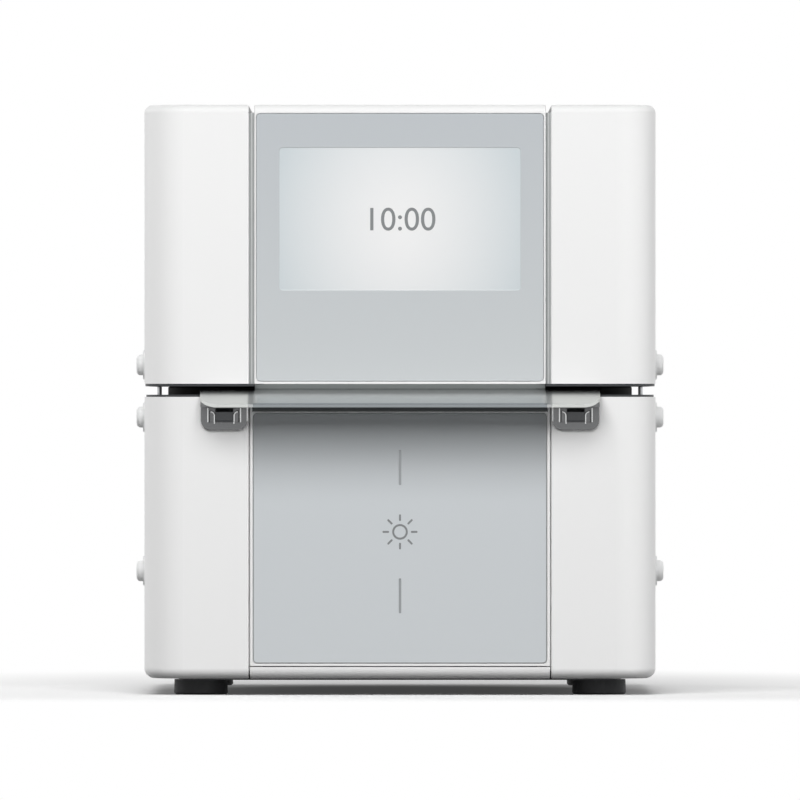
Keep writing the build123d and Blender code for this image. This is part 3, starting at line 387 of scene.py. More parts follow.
x, _, z = handle_metal.axes()
middle_part = abs(x) < middle_half
bend_reflection = (abs(x) < bend_half) - middle_part
roll_shade = ((handle_low.z + roll_height - z) / roll_softness).clamped()
# Painted reflection between the wings and along the bend, painted shade on the lower roll
painted_reflection_tone = handle_metal.blend(middle_part, (0.66, 0.676, 0.66), (0.60, 0.62, 0.62))
painted_reflection_tone = handle_metal.blend(bend_reflection, painted_reflection_tone, (0.49, 0.50, 0.50))
handle_metal.set("Base Color", handle_metal.blend(roll_shade * middle_part, painted_reflection_tone, (0.30, 0.325, 0.34)))
print("handle: bends at", round(bend_half / MM, 1), "mm from the middle")

# %% [markdown]
# ## Painted highlights and shade on the latches
# Keepers and catches are small dark pressings. Painted highlights, bright lines, are chosen
# for the window's side walls, the keeper's inner edge and the two prongs with their round
# tips, and painted shade makes the recess between the prongs darker still. One formula
# serves both sides, because it works on the distance from the keeper's own middle.

# %% Latches with painted highlights on their edges and painted shade in the recess
latch_grey = (0.184, 0.187, 0.190)
latch_paint = powder_coat("latch_paint", latch_grey, 0.24, 0.000006)
latch_paint.set("Metallic", 0.75)

keeper_low, keeper_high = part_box("keeper_right")
keeper_x = (keeper_low.x + keeper_high.x) / 2
window_middle, window_half = 9.3 * MM, 4.5 * MM
wall_offset, wall_half = 10.4 * MM, 0.40 * MM
prong_offset, prong_middle, prong_reach = 6.25 * MM, 6.5 * MM, 2.6 * MM
tip_centre, tip_radius = (8.7 * MM, 9.1 * MM), 2.45 * MM
line_half = 0.38 * MM
rim_offset, rim_middle, rim_reach = 14.5 * MM, 12.0 * MM, 6.5 * MM
recess_half = 5.9 * MM

x, _, z = latch_paint.axes()
beside = abs(abs(x) - keeper_x)
above = z - keeper_low.z
window = abs(above - window_middle) < window_half
wall_highlight = (abs(beside - wall_offset) < wall_half) * window
prong_highlight = (abs(beside - prong_offset) < line_half) * (abs(above - prong_middle) < prong_reach)
turn_x, turn_z = beside - tip_centre[0], above - tip_centre[1]
turn = abs((turn_x * turn_x + turn_z * turn_z).power(0.5) - tip_radius) < line_half
turn = turn * (turn_x < 0.0) * (turn_z > 0.0)
rim = (keeper_x - abs(x) > rim_offset) * (abs(above - rim_middle) < rim_reach)
recess = (beside < recess_half) * window

tone = latch_paint.blend(latch_paint.noise(14, detail=2.0), (0.168, 0.170, 0.174), latch_grey)
# Painted shade in the recess, then painted highlights on the edges and prong tips
tone = latch_paint.blend(recess, tone, (0.077, 0.080, 0.083))
tone = latch_paint.blend((wall_highlight + prong_highlight + turn + rim).clamped(), tone, (0.82, 0.83, 0.83))
latch_paint.set("Base Color", tone)
print("latches: middles at", round(keeper_x / MM, 1), "mm from the middle")

# %% [markdown]
# ## Printed glass
# The front glass is printed grey from behind, and a painted reflection makes it lighten
# a little towards its foot.
# The screen shows through a clear window in the print: it glows white in the middle and
# bluish at its ends. A narrow step all round gives the window its dark top edge and its
# bright lower edge.


# %% Rectangular windows drawn by a formula
def window_depth(paint, centre, half, corner):
    """How far inside a rounded rectangle on the front a point lies, in metres."""
    x, _, z = paint.axes()
    over_x = abs(x - centre[0]) - (half[0] - corner)
    over_z = abs(z - centre[1]) - (half[1] - corner)
    past_x, past_z = over_x.at_least(0.0), over_z.at_least(0.0)
    beyond = (past_x * past_x + past_z * past_z).power(0.5)
    return corner - beyond - over_x.at_least(over_z).at_most(0.0)


def height_share(paint, low, high):
    """0 at the panel's foot, 1 at its top."""
    return ((paint.axes()[2] - low.z) / (high.z - low.z)).clamped()


# %% Front glass with its screen
glass_low, glass_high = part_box("display_glass")
screen_half = (77.2 * MM, 45.6 * MM)
screen_centre = (0.0, 304.9 * MM)
screen_corner = 2.2 * MM
step_width, step_depth, step_strength = 0.5 * MM, 0.45 * MM, 0.55
glow_drop, glow_height, glow_spread = 6.0 * MM, 2.1, 0.92
pixel_waves = 3900

front_glass = Paint("printed_front_glass", (0.5, 0.5, 0.5), {"Coat Weight": 0.3, "Coat Roughness": 0.08})
foot_grey, top_grey = (0.58, 0.608, 0.62), (0.49, 0.52, 0.545)
# Painted reflection: the grey lightens a little towards the glass's foot
grey = front_glass.blend(height_share(front_glass, glass_low, glass_high), foot_grey, top_grey)
inside = window_depth(front_glass, screen_centre, screen_half, screen_corner)
in_screen = (inside / step_width + 0.5).clamped()
x, _, z = front_glass.axes()
wide = (x - screen_centre[0]) / screen_half[0]
tall = (z - screen_centre[1] + glow_drop) / (screen_half[1] * glow_height)
fade = ((wide * wide + tall * tall).power(0.5) * glow_spread).clamped().power(1.5)
glow = front_glass.blend(fade, (0.87, 0.87, 0.87), (0.59, 0.645, 0.67))
pixels = (x * pixel_waves).sine() * (z * pixel_waves).sine()
front_glass.set("Base Color", front_glass.blend(in_screen, grey, glow))
front_glass.set("Roughness", 0.26 + in_screen * 0.10 + pixels * in_screen * 0.02)
front_glass.relief(1 - in_screen, step_depth, step_strength)
print("screen:", [round(2 * half / MM, 1) for half in screen_half], "mm")

# %% [markdown]
# ## Lower panel
# The lower panel is satin grey plastic, with painted shade that darkens it a little towards
# its top. Painted shade, a darker grey, is chosen for its top under the handle's lip, and a
# smooth step by height blends the two. Its two short grooves are filled with dark paint,
# drawn over the grooves that the part has, and its rim gets a thin dark line.

# %% Lower panel with its painted grooves and painted shade under the lip
panel_low, panel_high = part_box("base_front_panel")
groove_half = (0.85 * MM, 11.3 * MM)
groove_heights = (63.6 * MM, 145.6 * MM)
groove_softness = 0.2 * MM
full_tone, no_tone = 10.0 * MM, 60.0 * MM
panel_corner, rim_width, rim_start = 2.5 * MM, 0.5 * MM, 1.4
foot_tone, head_tone, lip_shade_tone = (0.63, 0.66, 0.68), (0.60, 0.63, 0.65), (0.336, 0.353, 0.364)
rim_tone, groove_tone = (0.30, 0.315, 0.32), (0.33, 0.345, 0.355)

lower_panel = Paint("satin_lower_panel", (0.5, 0.5, 0.5), {"IOR": 1.4})
# Painted shade: a little darker towards the top, and much darker just under the handle's lip
grey = lower_panel.blend(height_share(lower_panel, panel_low, panel_high), foot_tone, head_tone)
_, _, z = lower_panel.axes()
below_top = ((panel_high.z - full_tone - z) / (no_tone - full_tone)).clamped()
smooth_step = below_top * below_top * (3.0 - below_top * 2.0)
grey = lower_panel.blend(smooth_step, lip_shade_tone, grey)
panel_middle = (0.0, (panel_low.z + panel_high.z) / 2)
panel_half = ((panel_high.x - panel_low.x) / 2, (panel_high.z - panel_low.z) / 2)
from_rim = window_depth(lower_panel, panel_middle, panel_half, panel_corner)
grey = lower_panel.blend((rim_start - from_rim / rim_width).clamped(), grey, rim_tone)
fill = 0.0
for height in groove_heights:
    depth = window_depth(lower_panel, (0.0, height), groove_half, groove_half[0])
    fill = (depth / groove_softness).clamped() + fill
speck = lower_panel.noise(2600, detail=2.0)
lower_panel.set("Base Color", lower_panel.blend(fill, grey, groove_tone))
lower_panel.set("Roughness", 0.40 + (speck - 0.5) * 0.08)
lower_panel.relief(speck, 0.000004)
print("grooves: middles at", [round(height / MM, 1) for height in groove_heights], "mm")

# %% [markdown]
# ## Strip behind the lip
# Little light reaches the moulding above the lower panel, behind the handle's lip. A
# black strip is chosen for it, so that it stays dark however the lamps stand.

# %% Front frame with its black strip
frame_plastic = moulded("frame_moulding", (0.90, 0.90, 0.898), 0.02, 0.44, 1900, 0.000008)
strip_rise, strip_overlap = 0.9 * MM, 0.6 * MM
x, _, z = frame_plastic.axes()
strip = (z > panel_high.z + strip_rise) * (abs(x) < panel_high.x + strip_overlap)
frame_plastic.set("Base Color", frame_plastic.blend(strip, (0.895, 0.895, 0.893), (0.035, 0.04, 0.042)))

# %% [markdown]
# ## Clear glass and circuit boards
# Clear glass stays thin and green-tinged, with a trace of haze. A circuit board shows
# its tracks as a broken square net under the solder mask.


# %% Glass and boards
def clear_glass(name, tint, roughness=0.02):
    paint = Paint(name, tint, {"IOR": 1.5, "Transmission Weight": 1.0})
    haze = paint.noise(35, detail=4.0)
    paint.set("Roughness", roughness + haze * 0.03)
    return paint


def circuit_board(name, mask_colour, track_colour):
    paint = Paint(name, mask_colour, {"Coat Weight": 0.3})
    track_waves, track_width, breaks = 2100, 0.10, 120
    lines = [abs((axis * track_waves).sine()) for axis in paint.axes()]
    tracks = (lines[0].at_most(lines[1]) < track_width) * (paint.noise(breaks) > 0.5)
    paint.set("Base Color", paint.blend(tracks, mask_colour, track_colour))
    paint.set("Roughness", 0.38 + tracks * 0.1)
    return paint.relief(tracks, 0.00002)


chamber_glass = clear_glass("chamber_glass", (0.93, 0.97, 0.96))
lens_silicone = clear_glass("lens_silicone", (0.97, 0.94, 0.80), 0.05)
board_green = circuit_board("board_green", (0.012, 0.085, 0.045), (0.03, 0.16, 0.08))

# %% [markdown]
# ## Light boards
# Each light board is white, with square emitters in a grid: ceramic, a gold frame and a
# dark chip in the middle. The fraction of a position, counted in steps of the grid, gives
# the distance to the nearest emitter, so one formula paints all of them. The grid is
# worked out from the board's own box, and the lenses further down use it too.


# %% The grid of emitters
EMITTER_MARGIN, EMITTER_COLUMNS, EMITTER_ROWS = 21.0 * MM, 5, 4


def emitter_grid(board):
    """First place and step of a board's emitters, along x and along y."""
    low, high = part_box(board)
    step_x = (high.x - low.x - 2 * EMITTER_MARGIN) / (EMITTER_COLUMNS - 1)
    step_y = (high.y - low.y - 2 * EMITTER_MARGIN) / (EMITTER_ROWS - 1)
    return (low.x + EMITTER_MARGIN, step_x), (low.y + EMITTER_MARGIN, step_y)


def emitter_face(board, direction):
    """Height of the board's face that looks into the chamber."""
    low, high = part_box(board)
    return high.z if direction > 0 else low.z


# %% White boards with their emitters
def from_nearest(place, first, step):
    """Distance from the middle of the nearest emitter along one axis."""
    shifted = (place - (first - step / 2)) / step
    return abs(shifted.maths("FRACT", shifted) - 0.5) * step


def light_board(board, direction):
    """White board whose raised emitters are ceramic, each with a gold frame and a dark chip."""
    emitter_rise, body_half, frame_half, chip_half = 1.7 * MM, 3.2 * MM, 2.3 * MM, 1.2 * MM
    paint = circuit_board(f"{board}_white", (0.70, 0.70, 0.69), (0.60, 0.60, 0.58))
    along_x, along_y = emitter_grid(board)
    x, y, z = paint.axes()
    raised = abs(z - emitter_face(board, direction)) < emitter_rise
    out = from_nearest(x, *along_x).at_least(from_nearest(y, *along_y))
    colour = paint.blend(raised * (out < body_half), paint.fed_by("Base Color"), (0.80, 0.78, 0.70))
    colour = paint.blend(raised * (out < frame_half), colour, (0.78, 0.58, 0.22))
    paint.set("Base Color", paint.blend(raised * (out < chip_half), colour, (0.10, 0.07, 0.16)))
    print(f"{board}: {EMITTER_COLUMNS * EMITTER_ROWS} emitters painted")
    return paint


base_board_paint = light_board("base_led_board", 1)
lid_board_paint = light_board("lid_led_board", -1)

# %% [markdown]
# ## Mains inlet and rocker
# The inlet is black, but its three contacts are brass: a mask picks out the space they
# stand in. The rocker carries the two plain marks of a mains switch, a bar and a ring.

# %% Inlet with brass contacts
inlet_low, inlet_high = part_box("power_inlet")
inlet_x = (inlet_low.x + inlet_high.x) / 2
inlet_z = (inlet_low.z + inlet_high.z) / 2
contact_spacing, contact_half, contact_reach, contact_depth = 7.0 * MM, 1.05 * MM, 2.3 * MM, 17.8 * MM

inlet_plastic = moulded("inlet_moulding", (0.030, 0.031, 0.033), 0.25, 0.42, 2600, 0.00002)
x, y, z = inlet_plastic.axes()
contacts = 0.0
for step in (-1, 0, 1):
    beside = abs(x - inlet_x - step * contact_spacing) < contact_half
    contacts = beside * (abs(z - inlet_z) < contact_reach) + contacts
contacts = contacts * (y > inlet_high.y - contact_depth)
inlet_plastic.set("Base Color", inlet_plastic.blend(contacts, (0.03, 0.031, 0.033), (0.78, 0.60, 0.28)))
inlet_plastic.set("Metallic", contacts)
print("inlet: contacts", round(contact_spacing / MM, 1), "mm apart")

# %% Rocker with its two marks
rocker_low, rocker_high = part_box("power_rocker")
rocker_x = (rocker_low.x + rocker_high.x) / 2
rocker_z = (rocker_low.z + rocker_high.z) / 2
mark_rise, line_half = 4.6 * MM, 0.3 * MM
bar_reach, ring_radius, ring_half = 1.6 * MM, 1.35 * MM, 0.28 * MM

rocker_plastic = moulded("rocker_moulding", (0.028, 0.029, 0.031), 0.2, 0.38, 2600, 0.00002)
x, _, z = rocker_plastic.axes()
bar = (abs(x - rocker_x) < line_half) * (abs(z - rocker_z - mark_rise) < bar_reach)
ring_x, ring_z = x - rocker_x, z - rocker_z + mark_rise
radius = (ring_x * ring_x + ring_z * ring_z).power(0.5)
ring = abs(radius - ring_radius) < ring_half
rocker_plastic.set(
    "Base Color", rocker_plastic.blend(bar + ring, (0.028, 0.029, 0.031), (0.80, 0.80, 0.80))
)
print("rocker: marks", round(2 * mark_rise / MM, 1), "mm apart")

# %% [markdown]
# ## Which part has which finish
# One table names every carried-over part once, so no part is left in a plain colour.

# %% Paint the carried-over parts
painted = {
    white_plastic: "base_front_sill lid_front_cover",
    frame_plastic: "base_front_frame",
    shell_plastic: "base_shell_left base_shell_right lid_shell_left lid_shell_right",
    cap_plastic: "base_side_caps lid_side_caps",
    front_glass: "display_glass",
    lower_panel: "base_front_panel",
    dark_plate: "base_deck lid_plate base_plate",
    handle_metal: "handle",
    latch_paint: "keeper_left keeper_right catch_left catch_right",
    rubber: "foot_front_left foot_front_right foot_rear_left foot_rear_right",
    seal_rubber: "chamber_seal",
    mirror_metal: "chamber_tub lid_dome",
    chamber_glass: "glass_tray tub_window dome_window",
    rear_paint: "base_rear_panel lid_rear_panel",
    screw_metal: "base_rear_screws lid_rear_screws interlock_pin_left interlock_pin_right",
    hinge_metal: (
        "base_hinge_left base_hinge_right lid_hinge_left lid_hinge_right hinge_pin_left hinge_pin_right"
    ),
    fin_metal: "base_heat_sink lid_heat_sink power_supply",
    black_plastic: (
        "base_fan_frame base_fan_rotor lid_fan_frame lid_fan_rotor "
        "switch_housing interlock_switch_left interlock_switch_right display_module"
    ),
    inlet_plastic: "power_inlet",
    rocker_plastic: "power_rocker",
    board_green: "driver_board control_board",
    base_board_paint: "base_led_board",
    lid_board_paint: "lid_led_board",
}
finish_of = {name: paint for paint, names in painted.items() for name in names.split()}
for name, paint in finish_of.items():
    for place in nodes[name].material_slots:
        place.material = paint.material
print("painted nodes:", len(finish_of), "without a finish:", sorted(set(nodes) - set(finish_of)))

# %% [markdown]
# ## Edges that catch the light
# Sheet metal and cut plastic never end in a knife edge, and a bright line along each
# edge is what tells the eye how thick they are. A copy of the part is welded, its flat
# faces are made whole again, and a narrow bevel goes on the sharp edges only. The copy
# then stands for the part.

# %% Softened copies of crisp parts
body_by_node = {}
for body, names in frame["record"]["behaviour"]["bodies"].items():
    for name in names:
        body_by_node[name] = body
weld_gap, bevel_segments = 0.000005, 2
flat_angle, sharp_angle, smooth_angle = math.radians(0.5), math.radians(35), math.radians(50)


def softened(name, width):
    """Stands a welded copy with rounded edges in the place of one carried-over part."""
    piece = bpy.data.objects.new(f"{name}_edged", nodes[name].data.copy())
    bpy.context.scene.collection.objects.link(piece)
    pick(piece)
    bpy.ops.mesh.customdata_custom_splitnormals_clear()
    bpy.ops.object.mode_set(mode="EDIT")
    bpy.ops.mesh.select_all(action="SELECT")
    bpy.ops.mesh.remove_doubles(threshold=weld_gap)
    bpy.ops.mesh.dissolve_limited(angle_limit=flat_angle)
    bpy.ops.object.mode_set(mode="OBJECT")
    apply_modifier(
        piece, "BEVEL", width=width, segments=bevel_segments, limit_method="ANGLE",
        angle_limit=sharp_angle, use_clamp_overlap=True,
    )
    bpy.ops.object.shade_smooth_by_angle(angle=smooth_angle)
    apply_modifier(piece, "WEIGHTED_NORMAL", keep_sharp=True)
    settle(piece, f"{name}_edged", body_by_node[name], finish_of[name])
    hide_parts(name)
    print(f"{name}: {len(piece.data.polygons)} faces with {width * 1000:.2f} mm edges")


edge_widths = {
    "handle": 0.45, "keeper_left": 0.60, "keeper_right": 0.60, "catch_left": 0.60, "catch_right": 0.60,
    "display_glass": 0.25, "base_front_panel": 0.25, "power_rocker": 0.35,
}
for name, width in edge_widths.items():
    softened(name, width * MM)

# %% [markdown]
# ## Side caps
# A round push-in cap hides each screw in the side of the casing. The part has them as
# plain bevelled discs. Here one is modelled with a properly domed head, from two
# cylinders whose outer rims are bevelled in several steps, and then copied.


# %% One domed cap
def rounded_disc(radius, thickness, rim, segments):
    """Upright disc on the floor plane with a round upper rim."""
    deselect()
    bpy.ops.mesh.primitive_cylinder_add(
        vertices=48, radius=radius, depth=thickness, location=(0, 0, thickness / 2)
    )
    bpy.ops.object.transform_apply(location=True)
    bpy.ops.object.mode_set(mode="EDIT")
    select_faces(lambda centre, normal: normal.z > 0.9)
    bpy.ops.mesh.bevel(offset=rim, segments=segments, affect="EDGES")
    bpy.ops.object.mode_set(mode="OBJECT")
    bpy.ops.object.shade_smooth_by_angle(angle=math.radians(40))
    return bpy.context.object


def side_caps(node, heights):
    """Domed caps on both sides, in the place of one node's plain ones."""
    low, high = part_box(node)
    head_radius, reach, dome = 6.75 * MM, 5.4 * MM, 2.6 * MM
    collar_radius, collar_thickness, collar_rim = 9.5 * MM, 1.2 * MM, 0.55 * MM
    face_x = high.x - reach
    rows = (low.y + collar_radius, high.y - collar_radius)
    for side in (-1, 1):
        head = rounded_disc(head_radius, reach, dome, segments=6)
        collar = rounded_disc(collar_radius, collar_thickness, collar_rim, segments=3)
        cap = join([head, collar])
        cap.rotation_euler = (0, side * math.pi / 2, 0)
        pick(cap)
        bpy.ops.object.transform_apply(rotation=True)
        places = [(side * face_x, y, z * MM) for y in rows for z in heights]
        name = f"{node}_{'right' if side > 0 else 'left'}"
        piece = settle(copies(cap, places), name, body_by_node[node], cap_plastic)
        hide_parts(node)
    print(f"{node}: {2 * len(rows) * len(heights)} domed caps")


side_caps("base_side_caps", (79.2, 178.0))
side_caps("lid_side_caps", (211.6,))

# %% [markdown]
# ## Screws
# Pan-head screws hold the rear panels and hinges. The head is a cylinder with a broad
# bevel, and a cross-shaped tool is subtracted from it for the driver's recess.


# %% One pan-head screw, pointing out of the rear
def cross_tool(width, length, depth, top):
    """Two crossed bars that cut the recess, and stand a little above the head."""
    overshoot = 0.2
    bars = []
    for size_x, size_y in ((width, length), (length, width)):
        deselect()
        bpy.ops.mesh.primitive_cube_add(size=1, location=(0, 0, top - depth / 2 + depth * overshoot / 2))
        bpy.context.object.scale = (size_x, size_y, depth * (1 + overshoot))
        bpy.ops.object.transform_apply(scale=True)
        bars.append(bpy.context.object)
    return bars


def pan_screw():
    """One screw with its recess, turned to point out of the rear."""
    head_radius, head_height, head_rim = 3.0 * MM, 1.8 * MM, 1.1 * MM
    shank_radius, shank_length = 1.5 * MM, 1.6 * MM
    slot_width, slot_length, slot_depth = 0.75 * MM, 3.4 * MM, 0.9 * MM
    head = rounded_disc(head_radius, head_height, head_rim, segments=5)
    for bar in cross_tool(slot_width, slot_length, slot_depth, head_height):
        apply_modifier(head, "BOOLEAN", operation="DIFFERENCE", solver="EXACT", object=bar)
        bpy.data.objects.remove(bar)
    deselect()
    bpy.ops.mesh.primitive_cylinder_add(
        vertices=16, radius=shank_radius, depth=shank_length, location=(0, 0, -shank_length / 2)
    )
    screw = join([head, bpy.context.object])
    screw.rotation_euler = (-math.pi / 2, 0, 0)
    pick(screw)
    bpy.ops.object.transform_apply(location=True, rotation=True)
    return screw


# %% Screws on the rear panels and hinge leaves
panel_face_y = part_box("base_rear_panel")[1].y
leaf_thickness = 2.5 * MM
leaf_face_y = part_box("base_hinge_left")[0].y + leaf_thickness
hinge_z = (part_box("base_deck")[1].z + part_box("lid_plate")[0].z) / 2
fan_half = 35.75 * MM
hinge_offset, leaf_half, leaf_rise = 62.0 * MM, 12.0 * MM, 24.0 * MM
edge_x, edge_z = 3.0 * MM, 13.0 * MM


def rear_screws(node, panel, fan, direction):
    """Screws at the panel's corners, round its fan and on its side of both hinges."""
    panel_bottom, panel_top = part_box(panel)[0].z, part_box(panel)[1].z
    middle_z = (panel_bottom + panel_top) / 2
    corner_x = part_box(node)[1].x - edge_x
    corner_rise = (panel_top - panel_bottom) / 2 - edge_z
    fan_low, fan_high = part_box(fan)
    fan_x, fan_z = (fan_low.x + fan_high.x) / 2, (fan_low.z + fan_high.z) / 2
    places = []
    for across in (-1, 1):
        for up in (-1, 1):
            places.append((across * corner_x, panel_face_y, middle_z + up * corner_rise))
            places.append((fan_x + across * fan_half, panel_face_y, fan_z + up * fan_half))
        for beside in (-leaf_half, leaf_half):
            screw_x = across * hinge_offset + beside
            places.append((screw_x, leaf_face_y, hinge_z + direction * leaf_rise))
    heads = copies(pan_screw(), places)
    piece = settle(heads, f"{node}_heads", body_by_node[node], screw_metal)
    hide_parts(node)
    print(f"{node}: {len(places)} screws")


rear_screws("base_rear_screws", "base_rear_panel", "base_fan_frame", -1)
rear_screws("lid_rear_screws", "lid_rear_panel", "lid_fan_frame", 1)

# %% [markdown]
# ## Lenses on the light boards
# Each square emitter carries a small clear dome. Half a sphere is enough: the half that
# points away from the chamber is cut off with bisect, and the cut is filled so that the
# glass has an inside.


# %% Domed lenses
def lenses(board, direction):
    """A lens on every emitter of one board, facing the chamber."""
    radius, cut_height = 2.7 * MM, 0.05 * MM
    seat_z = emitter_face(board, direction)
    (first_x, step_x), (first_y, step_y) = emitter_grid(board)
    deselect()
    bpy.ops.mesh.primitive_uv_sphere_add(segments=20, ring_count=12, radius=radius)
    bpy.ops.object.mode_set(mode="EDIT")
    bpy.ops.mesh.select_all(action="SELECT")
    bpy.ops.mesh.bisect(
        plane_co=(0, 0, cut_height), plane_no=(0, 0, direction), use_fill=True, clear_inner=True
    )
    bpy.ops.object.mode_set(mode="OBJECT")
    bpy.ops.object.shade_smooth_by_angle(angle=math.radians(40))
    places = [
        (first_x + column * step_x, first_y + row * step_y, seat_z)
        for column in range(EMITTER_COLUMNS)
        for row in range(EMITTER_ROWS)
    ]
    lens_set = copies(bpy.context.object, places)
    settle(lens_set, f"{board}_lenses", body_by_node[board], lens_silicone)
    print(f"{board}: {len(places)} lenses")


lenses("base_led_board", 1)
lenses("lid_led_board", -1)

# %% [markdown]
# ## Print on the front
# The screen shows a plain countdown, and the lower panel carries a plain light symbol.
# Both are thin dark shapes that stand a few hundredths of a millimetre proud of the
# surface that carries them, because shapes keep a sharper edge than a formula would.

# %% Ink
ink = Paint("grey_ink", (0.235, 0.245, 0.25), {"IOR": 1.4})
ink_speck = ink.noise(3000, detail=2.0)
ink.set("Roughness", 0.45 + (ink_speck - 0.5) * 0.15)
ink_rise = 0.04 * MM
front_print_y = glass_low.y - ink_rise
lower_print_y = panel_low.y - ink_rise


def stand_up(piece, x, y, z):
    """Turns a shape that lies flat on the floor plane to face the front."""
    piece.location = (x, y, z)
    piece.rotation_euler = (math.pi / 2, 0, 0)
    return piece


# %% Countdown on the screen
digit_size, digit_drop = 21.0 * MM, 1.0 * MM

deselect()
bpy.ops.object.text_add()
digits = bpy.context.object
digits.data.body = "10:00"
digits.data.size = digit_size
digits.data.align_x = "CENTER"
digits.data.align_y = "CENTER"
digits.data.extrude = ink_rise / 2
bpy.ops.object.convert(target="MESH")
stand_up(digits, 0, front_print_y, screen_centre[1] - digit_drop)
settle(digits, "screen_digits", "lid", ink)
print("digits:", [round(side * 1000, 1) for side in digits.dimensions])

# %% Light symbol on the lower panel
symbol_z = 104.6 * MM
ring_radius, ring_width = 5.0 * MM, 1.3 * MM
ray_count, ray_width, ray_start, ray_end = 8, 1.3 * MM, 7.6 * MM, 10.6 * MM

deselect()
bpy.ops.mesh.primitive_circle_add(vertices=64, radius=ring_radius, fill_type="NGON")
ring = bpy.context.object
bpy.ops.object.mode_set(mode="EDIT")
bpy.ops.mesh.select_all(action="SELECT")
bpy.ops.mesh.inset(thickness=ring_width)
bpy.ops.mesh.delete(type="FACE")
bpy.ops.object.mode_set(mode="OBJECT")
rays = []
for turn in range(ray_count):
    deselect()
    bpy.ops.mesh.primitive_circle_add(vertices=24, radius=ray_width / 2, fill_type="NGON")
    ray = bpy.context.object
    for corner in ray.data.vertices:
        corner.co.x += ray_end if corner.co.x > 0 else ray_start
    ray.rotation_euler = (0, 0, turn * 2 * math.pi / ray_count)
    rays.append(ray)
symbol = join([ring, *rays])
bpy.ops.object.transform_apply(rotation=True)
apply_modifier(symbol, "SOLIDIFY", thickness=ink_rise, offset=0)
stand_up(symbol, 0, lower_print_y, symbol_z)
settle(symbol, "light_symbol", "base", ink)
print("symbol:", [round(side * 1000, 1) for side in symbol.dimensions])

# %% [markdown]
# ## Camera and studio
# A long lens far away keeps the casing's sides parallel. The camera stands at half the
# object's height and looks straight at its front, so top and underside stay edge on.

# %% Camera
face_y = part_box("base_front_frame")[0].y
camera_distance = 9.15
camera_height = 0.189
view_width = 0.512
sensor = 36.0

camera_data = bpy.data.cameras.new("camera")
camera_data.sensor_width = sensor
camera_data.lens = sensor * camera_distance / view_width
camera_data.clip_end = 100
camera = bpy.data.objects.new("camera", camera_data)
camera.location = (0, face_y - camera_distance, camera_height)
camera.rotation_euler = (math.pi / 2, 0, 0)
bpy.context.scene.collection.objects.link(camera)
bpy.context.scene.camera = camera
print("camera:", round(camera_data.lens), "mm lens,", camera_distance, "m from the front")

# %% Lights
lamp_aim = Vector((0, 0, 0.2))


def soft_box(name, place, size, level):
    """Area lamp that lights a facing white surface to about this level, where 1 is full white.

    It stays out of reflections, because a lamp mirrored in sheet metal is a white patch.
    """
    lamp = bpy.data.lights.new(name, "AREA")
    lamp.shape = "RECTANGLE"
    lamp.size, lamp.size_y = size
    way = lamp_aim - Vector(place)
    lamp.energy = level * math.pi**2 * way.length_squared
    holder = bpy.data.objects.new(name, lamp)
    holder.location = place
    holder.visible_glossy = False
    holder.rotation_euler = way.to_track_quat("-Z", "Y").to_euler()
    bpy.context.scene.collection.objects.link(holder)
    print(f"{name}: {way.length:.2f} m away, {lamp.energy:.0f} W")


soft_box("key_box", place=(-0.3, -2.3, 2.15), size=(2.4, 1.9), level=1.045)
soft_box("low_box", place=(0.0, -3.0, 0.65), size=(2.4, 0.5), level=0.08)
soft_box("left_box", place=(-2.3, 1.5, 0.45), size=(1.2, 1.4), level=0.74)
soft_box("right_box", place=(2.5, -0.5, 0.45), size=(1.2, 1.4), level=0.42)
soft_box("rear_box", place=(1.2, 2.6, 0.5), size=(1.6, 1.2), level=0.42)

# %% [markdown]
# ## A white backdrop that adds little light
# Camera, glossy and transmission rays see a plain white room, so that metal and glass
# show it too. Diffuse rays see a dim one, so the white costs no contrast. The floor does
# the same, and keeps the object's shadow.

# %% White room
world = bpy.data.worlds.new("studio")
bpy.context.scene.world = world
world.use_nodes = True
room = world.node_tree


def seen_directly(tree):
    """1 for rays from the camera, from gloss and through glass, 0 for diffuse light."""
    path = tree.nodes.new("ShaderNodeLightPath")
    total = None
    for ray in ("Is Camera Ray", "Is Glossy Ray", "Is Transmission Ray"):
        socket = path.outputs[ray]
        if total is not None:
            larger = tree.nodes.new("ShaderNodeMath")
            larger.operation = "MAXIMUM"
            tree.links.new(total, larger.inputs[0])
            tree.links.new(socket, larger.inputs[1])
            socket = larger.outputs[0]
        total = socket
    return total


dim_room, full_white = 0.07, 1.0

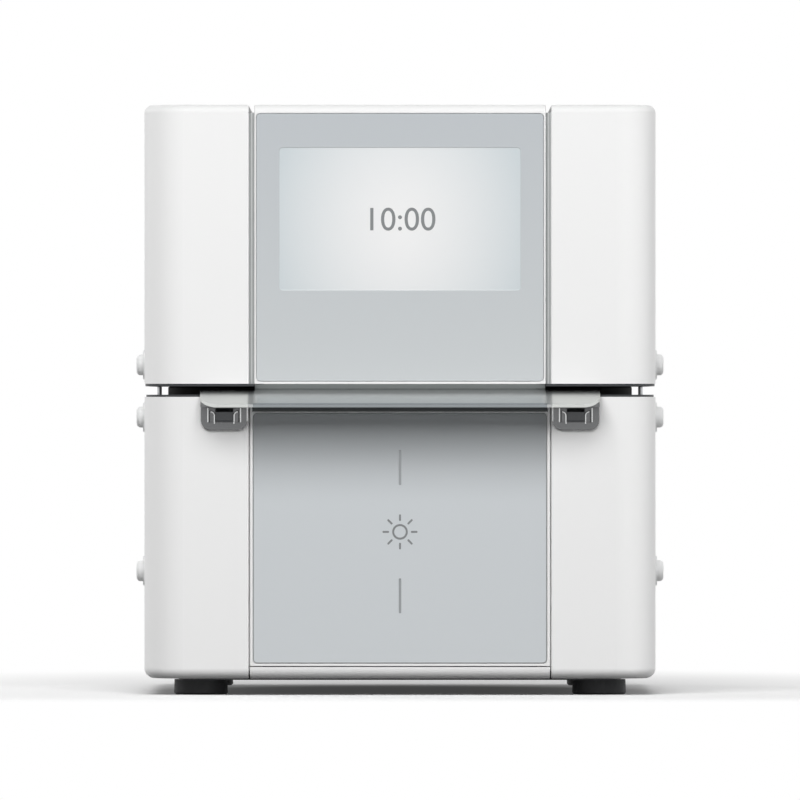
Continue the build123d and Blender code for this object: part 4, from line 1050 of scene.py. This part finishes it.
room_light = room.nodes["Background"]
room_light.inputs["Color"].default_value = (1, 1, 1, 1)
room_light.inputs["Strength"].default_value = dim_room
white_room = room.nodes.new("ShaderNodeBackground")
white_room.inputs["Color"].default_value = (1, 1, 1, 1)
white_room.inputs["Strength"].default_value = full_white
choose = room.nodes.new("ShaderNodeMixShader")
room.links.new(seen_directly(room), choose.inputs["Fac"])
room.links.new(room_light.outputs[0], choose.inputs[1])
room.links.new(white_room.outputs[0], choose.inputs[2])
room.links.new(choose.outputs[0], room.nodes["World Output"].inputs["Surface"])
bpy.context.scene.view_settings.view_transform = "Standard"
print("room:", dim_room, "for diffuse rays,", full_white, "seen directly")

# %% Floor, fading into the white room away from the object
deselect()
bpy.ops.mesh.primitive_plane_add(size=60, location=(0, 0, 0))
floor = bpy.context.object
floor.name = "floor"
floor_bounce, floor_tone, floor_lift = (0.12, 0.12, 0.12), (0.84, 0.84, 0.84), (0.05, 0.05, 0.05)
rear_line, front_line, rear_stretch, front_stretch = 0.3, 0.2, 0.3, 3.0
fade_start, fade_length = 0.22, 0.35

floor_paint = Paint("floor_white", (0.8, 0.8, 0.8), {"Roughness": 1.0, "Specular IOR Level": 0.0})
floor_seen = Value(floor_paint, seen_directly(floor_paint.tree))
floor_paint.set("Base Color", floor_paint.blend(floor_seen, floor_bounce, floor_tone))
floor_paint.set("Emission Color", floor_paint.blend(floor_seen, (0, 0, 0), floor_lift))
floor_paint.set("Emission Strength", 1.0)
x, y, _ = floor_paint.axes()
behind = (y + rear_line).at_least(0.0)
ahead = (-front_line - y).at_least(0.0) * front_stretch
round_distance = (x * x + behind * behind * rear_stretch + ahead * ahead).power(0.5)
far = ((round_distance - fade_start) / fade_length).clamped() * floor_seen
white = floor_paint.node("ShaderNodeEmission", None, {"Color": (1, 1, 1), "Strength": 1.0})
lit = Value(floor_paint, floor_paint.shader.outputs[0])
floor_mix = floor_paint.node("ShaderNodeMixShader", None, {0: far, 1: lit, 2: white})
floor_paint.tree.links.new(floor_mix.socket, floor_paint.tree.nodes["Material Output"].inputs["Surface"])
floor.data.materials.append(floor_paint.material)
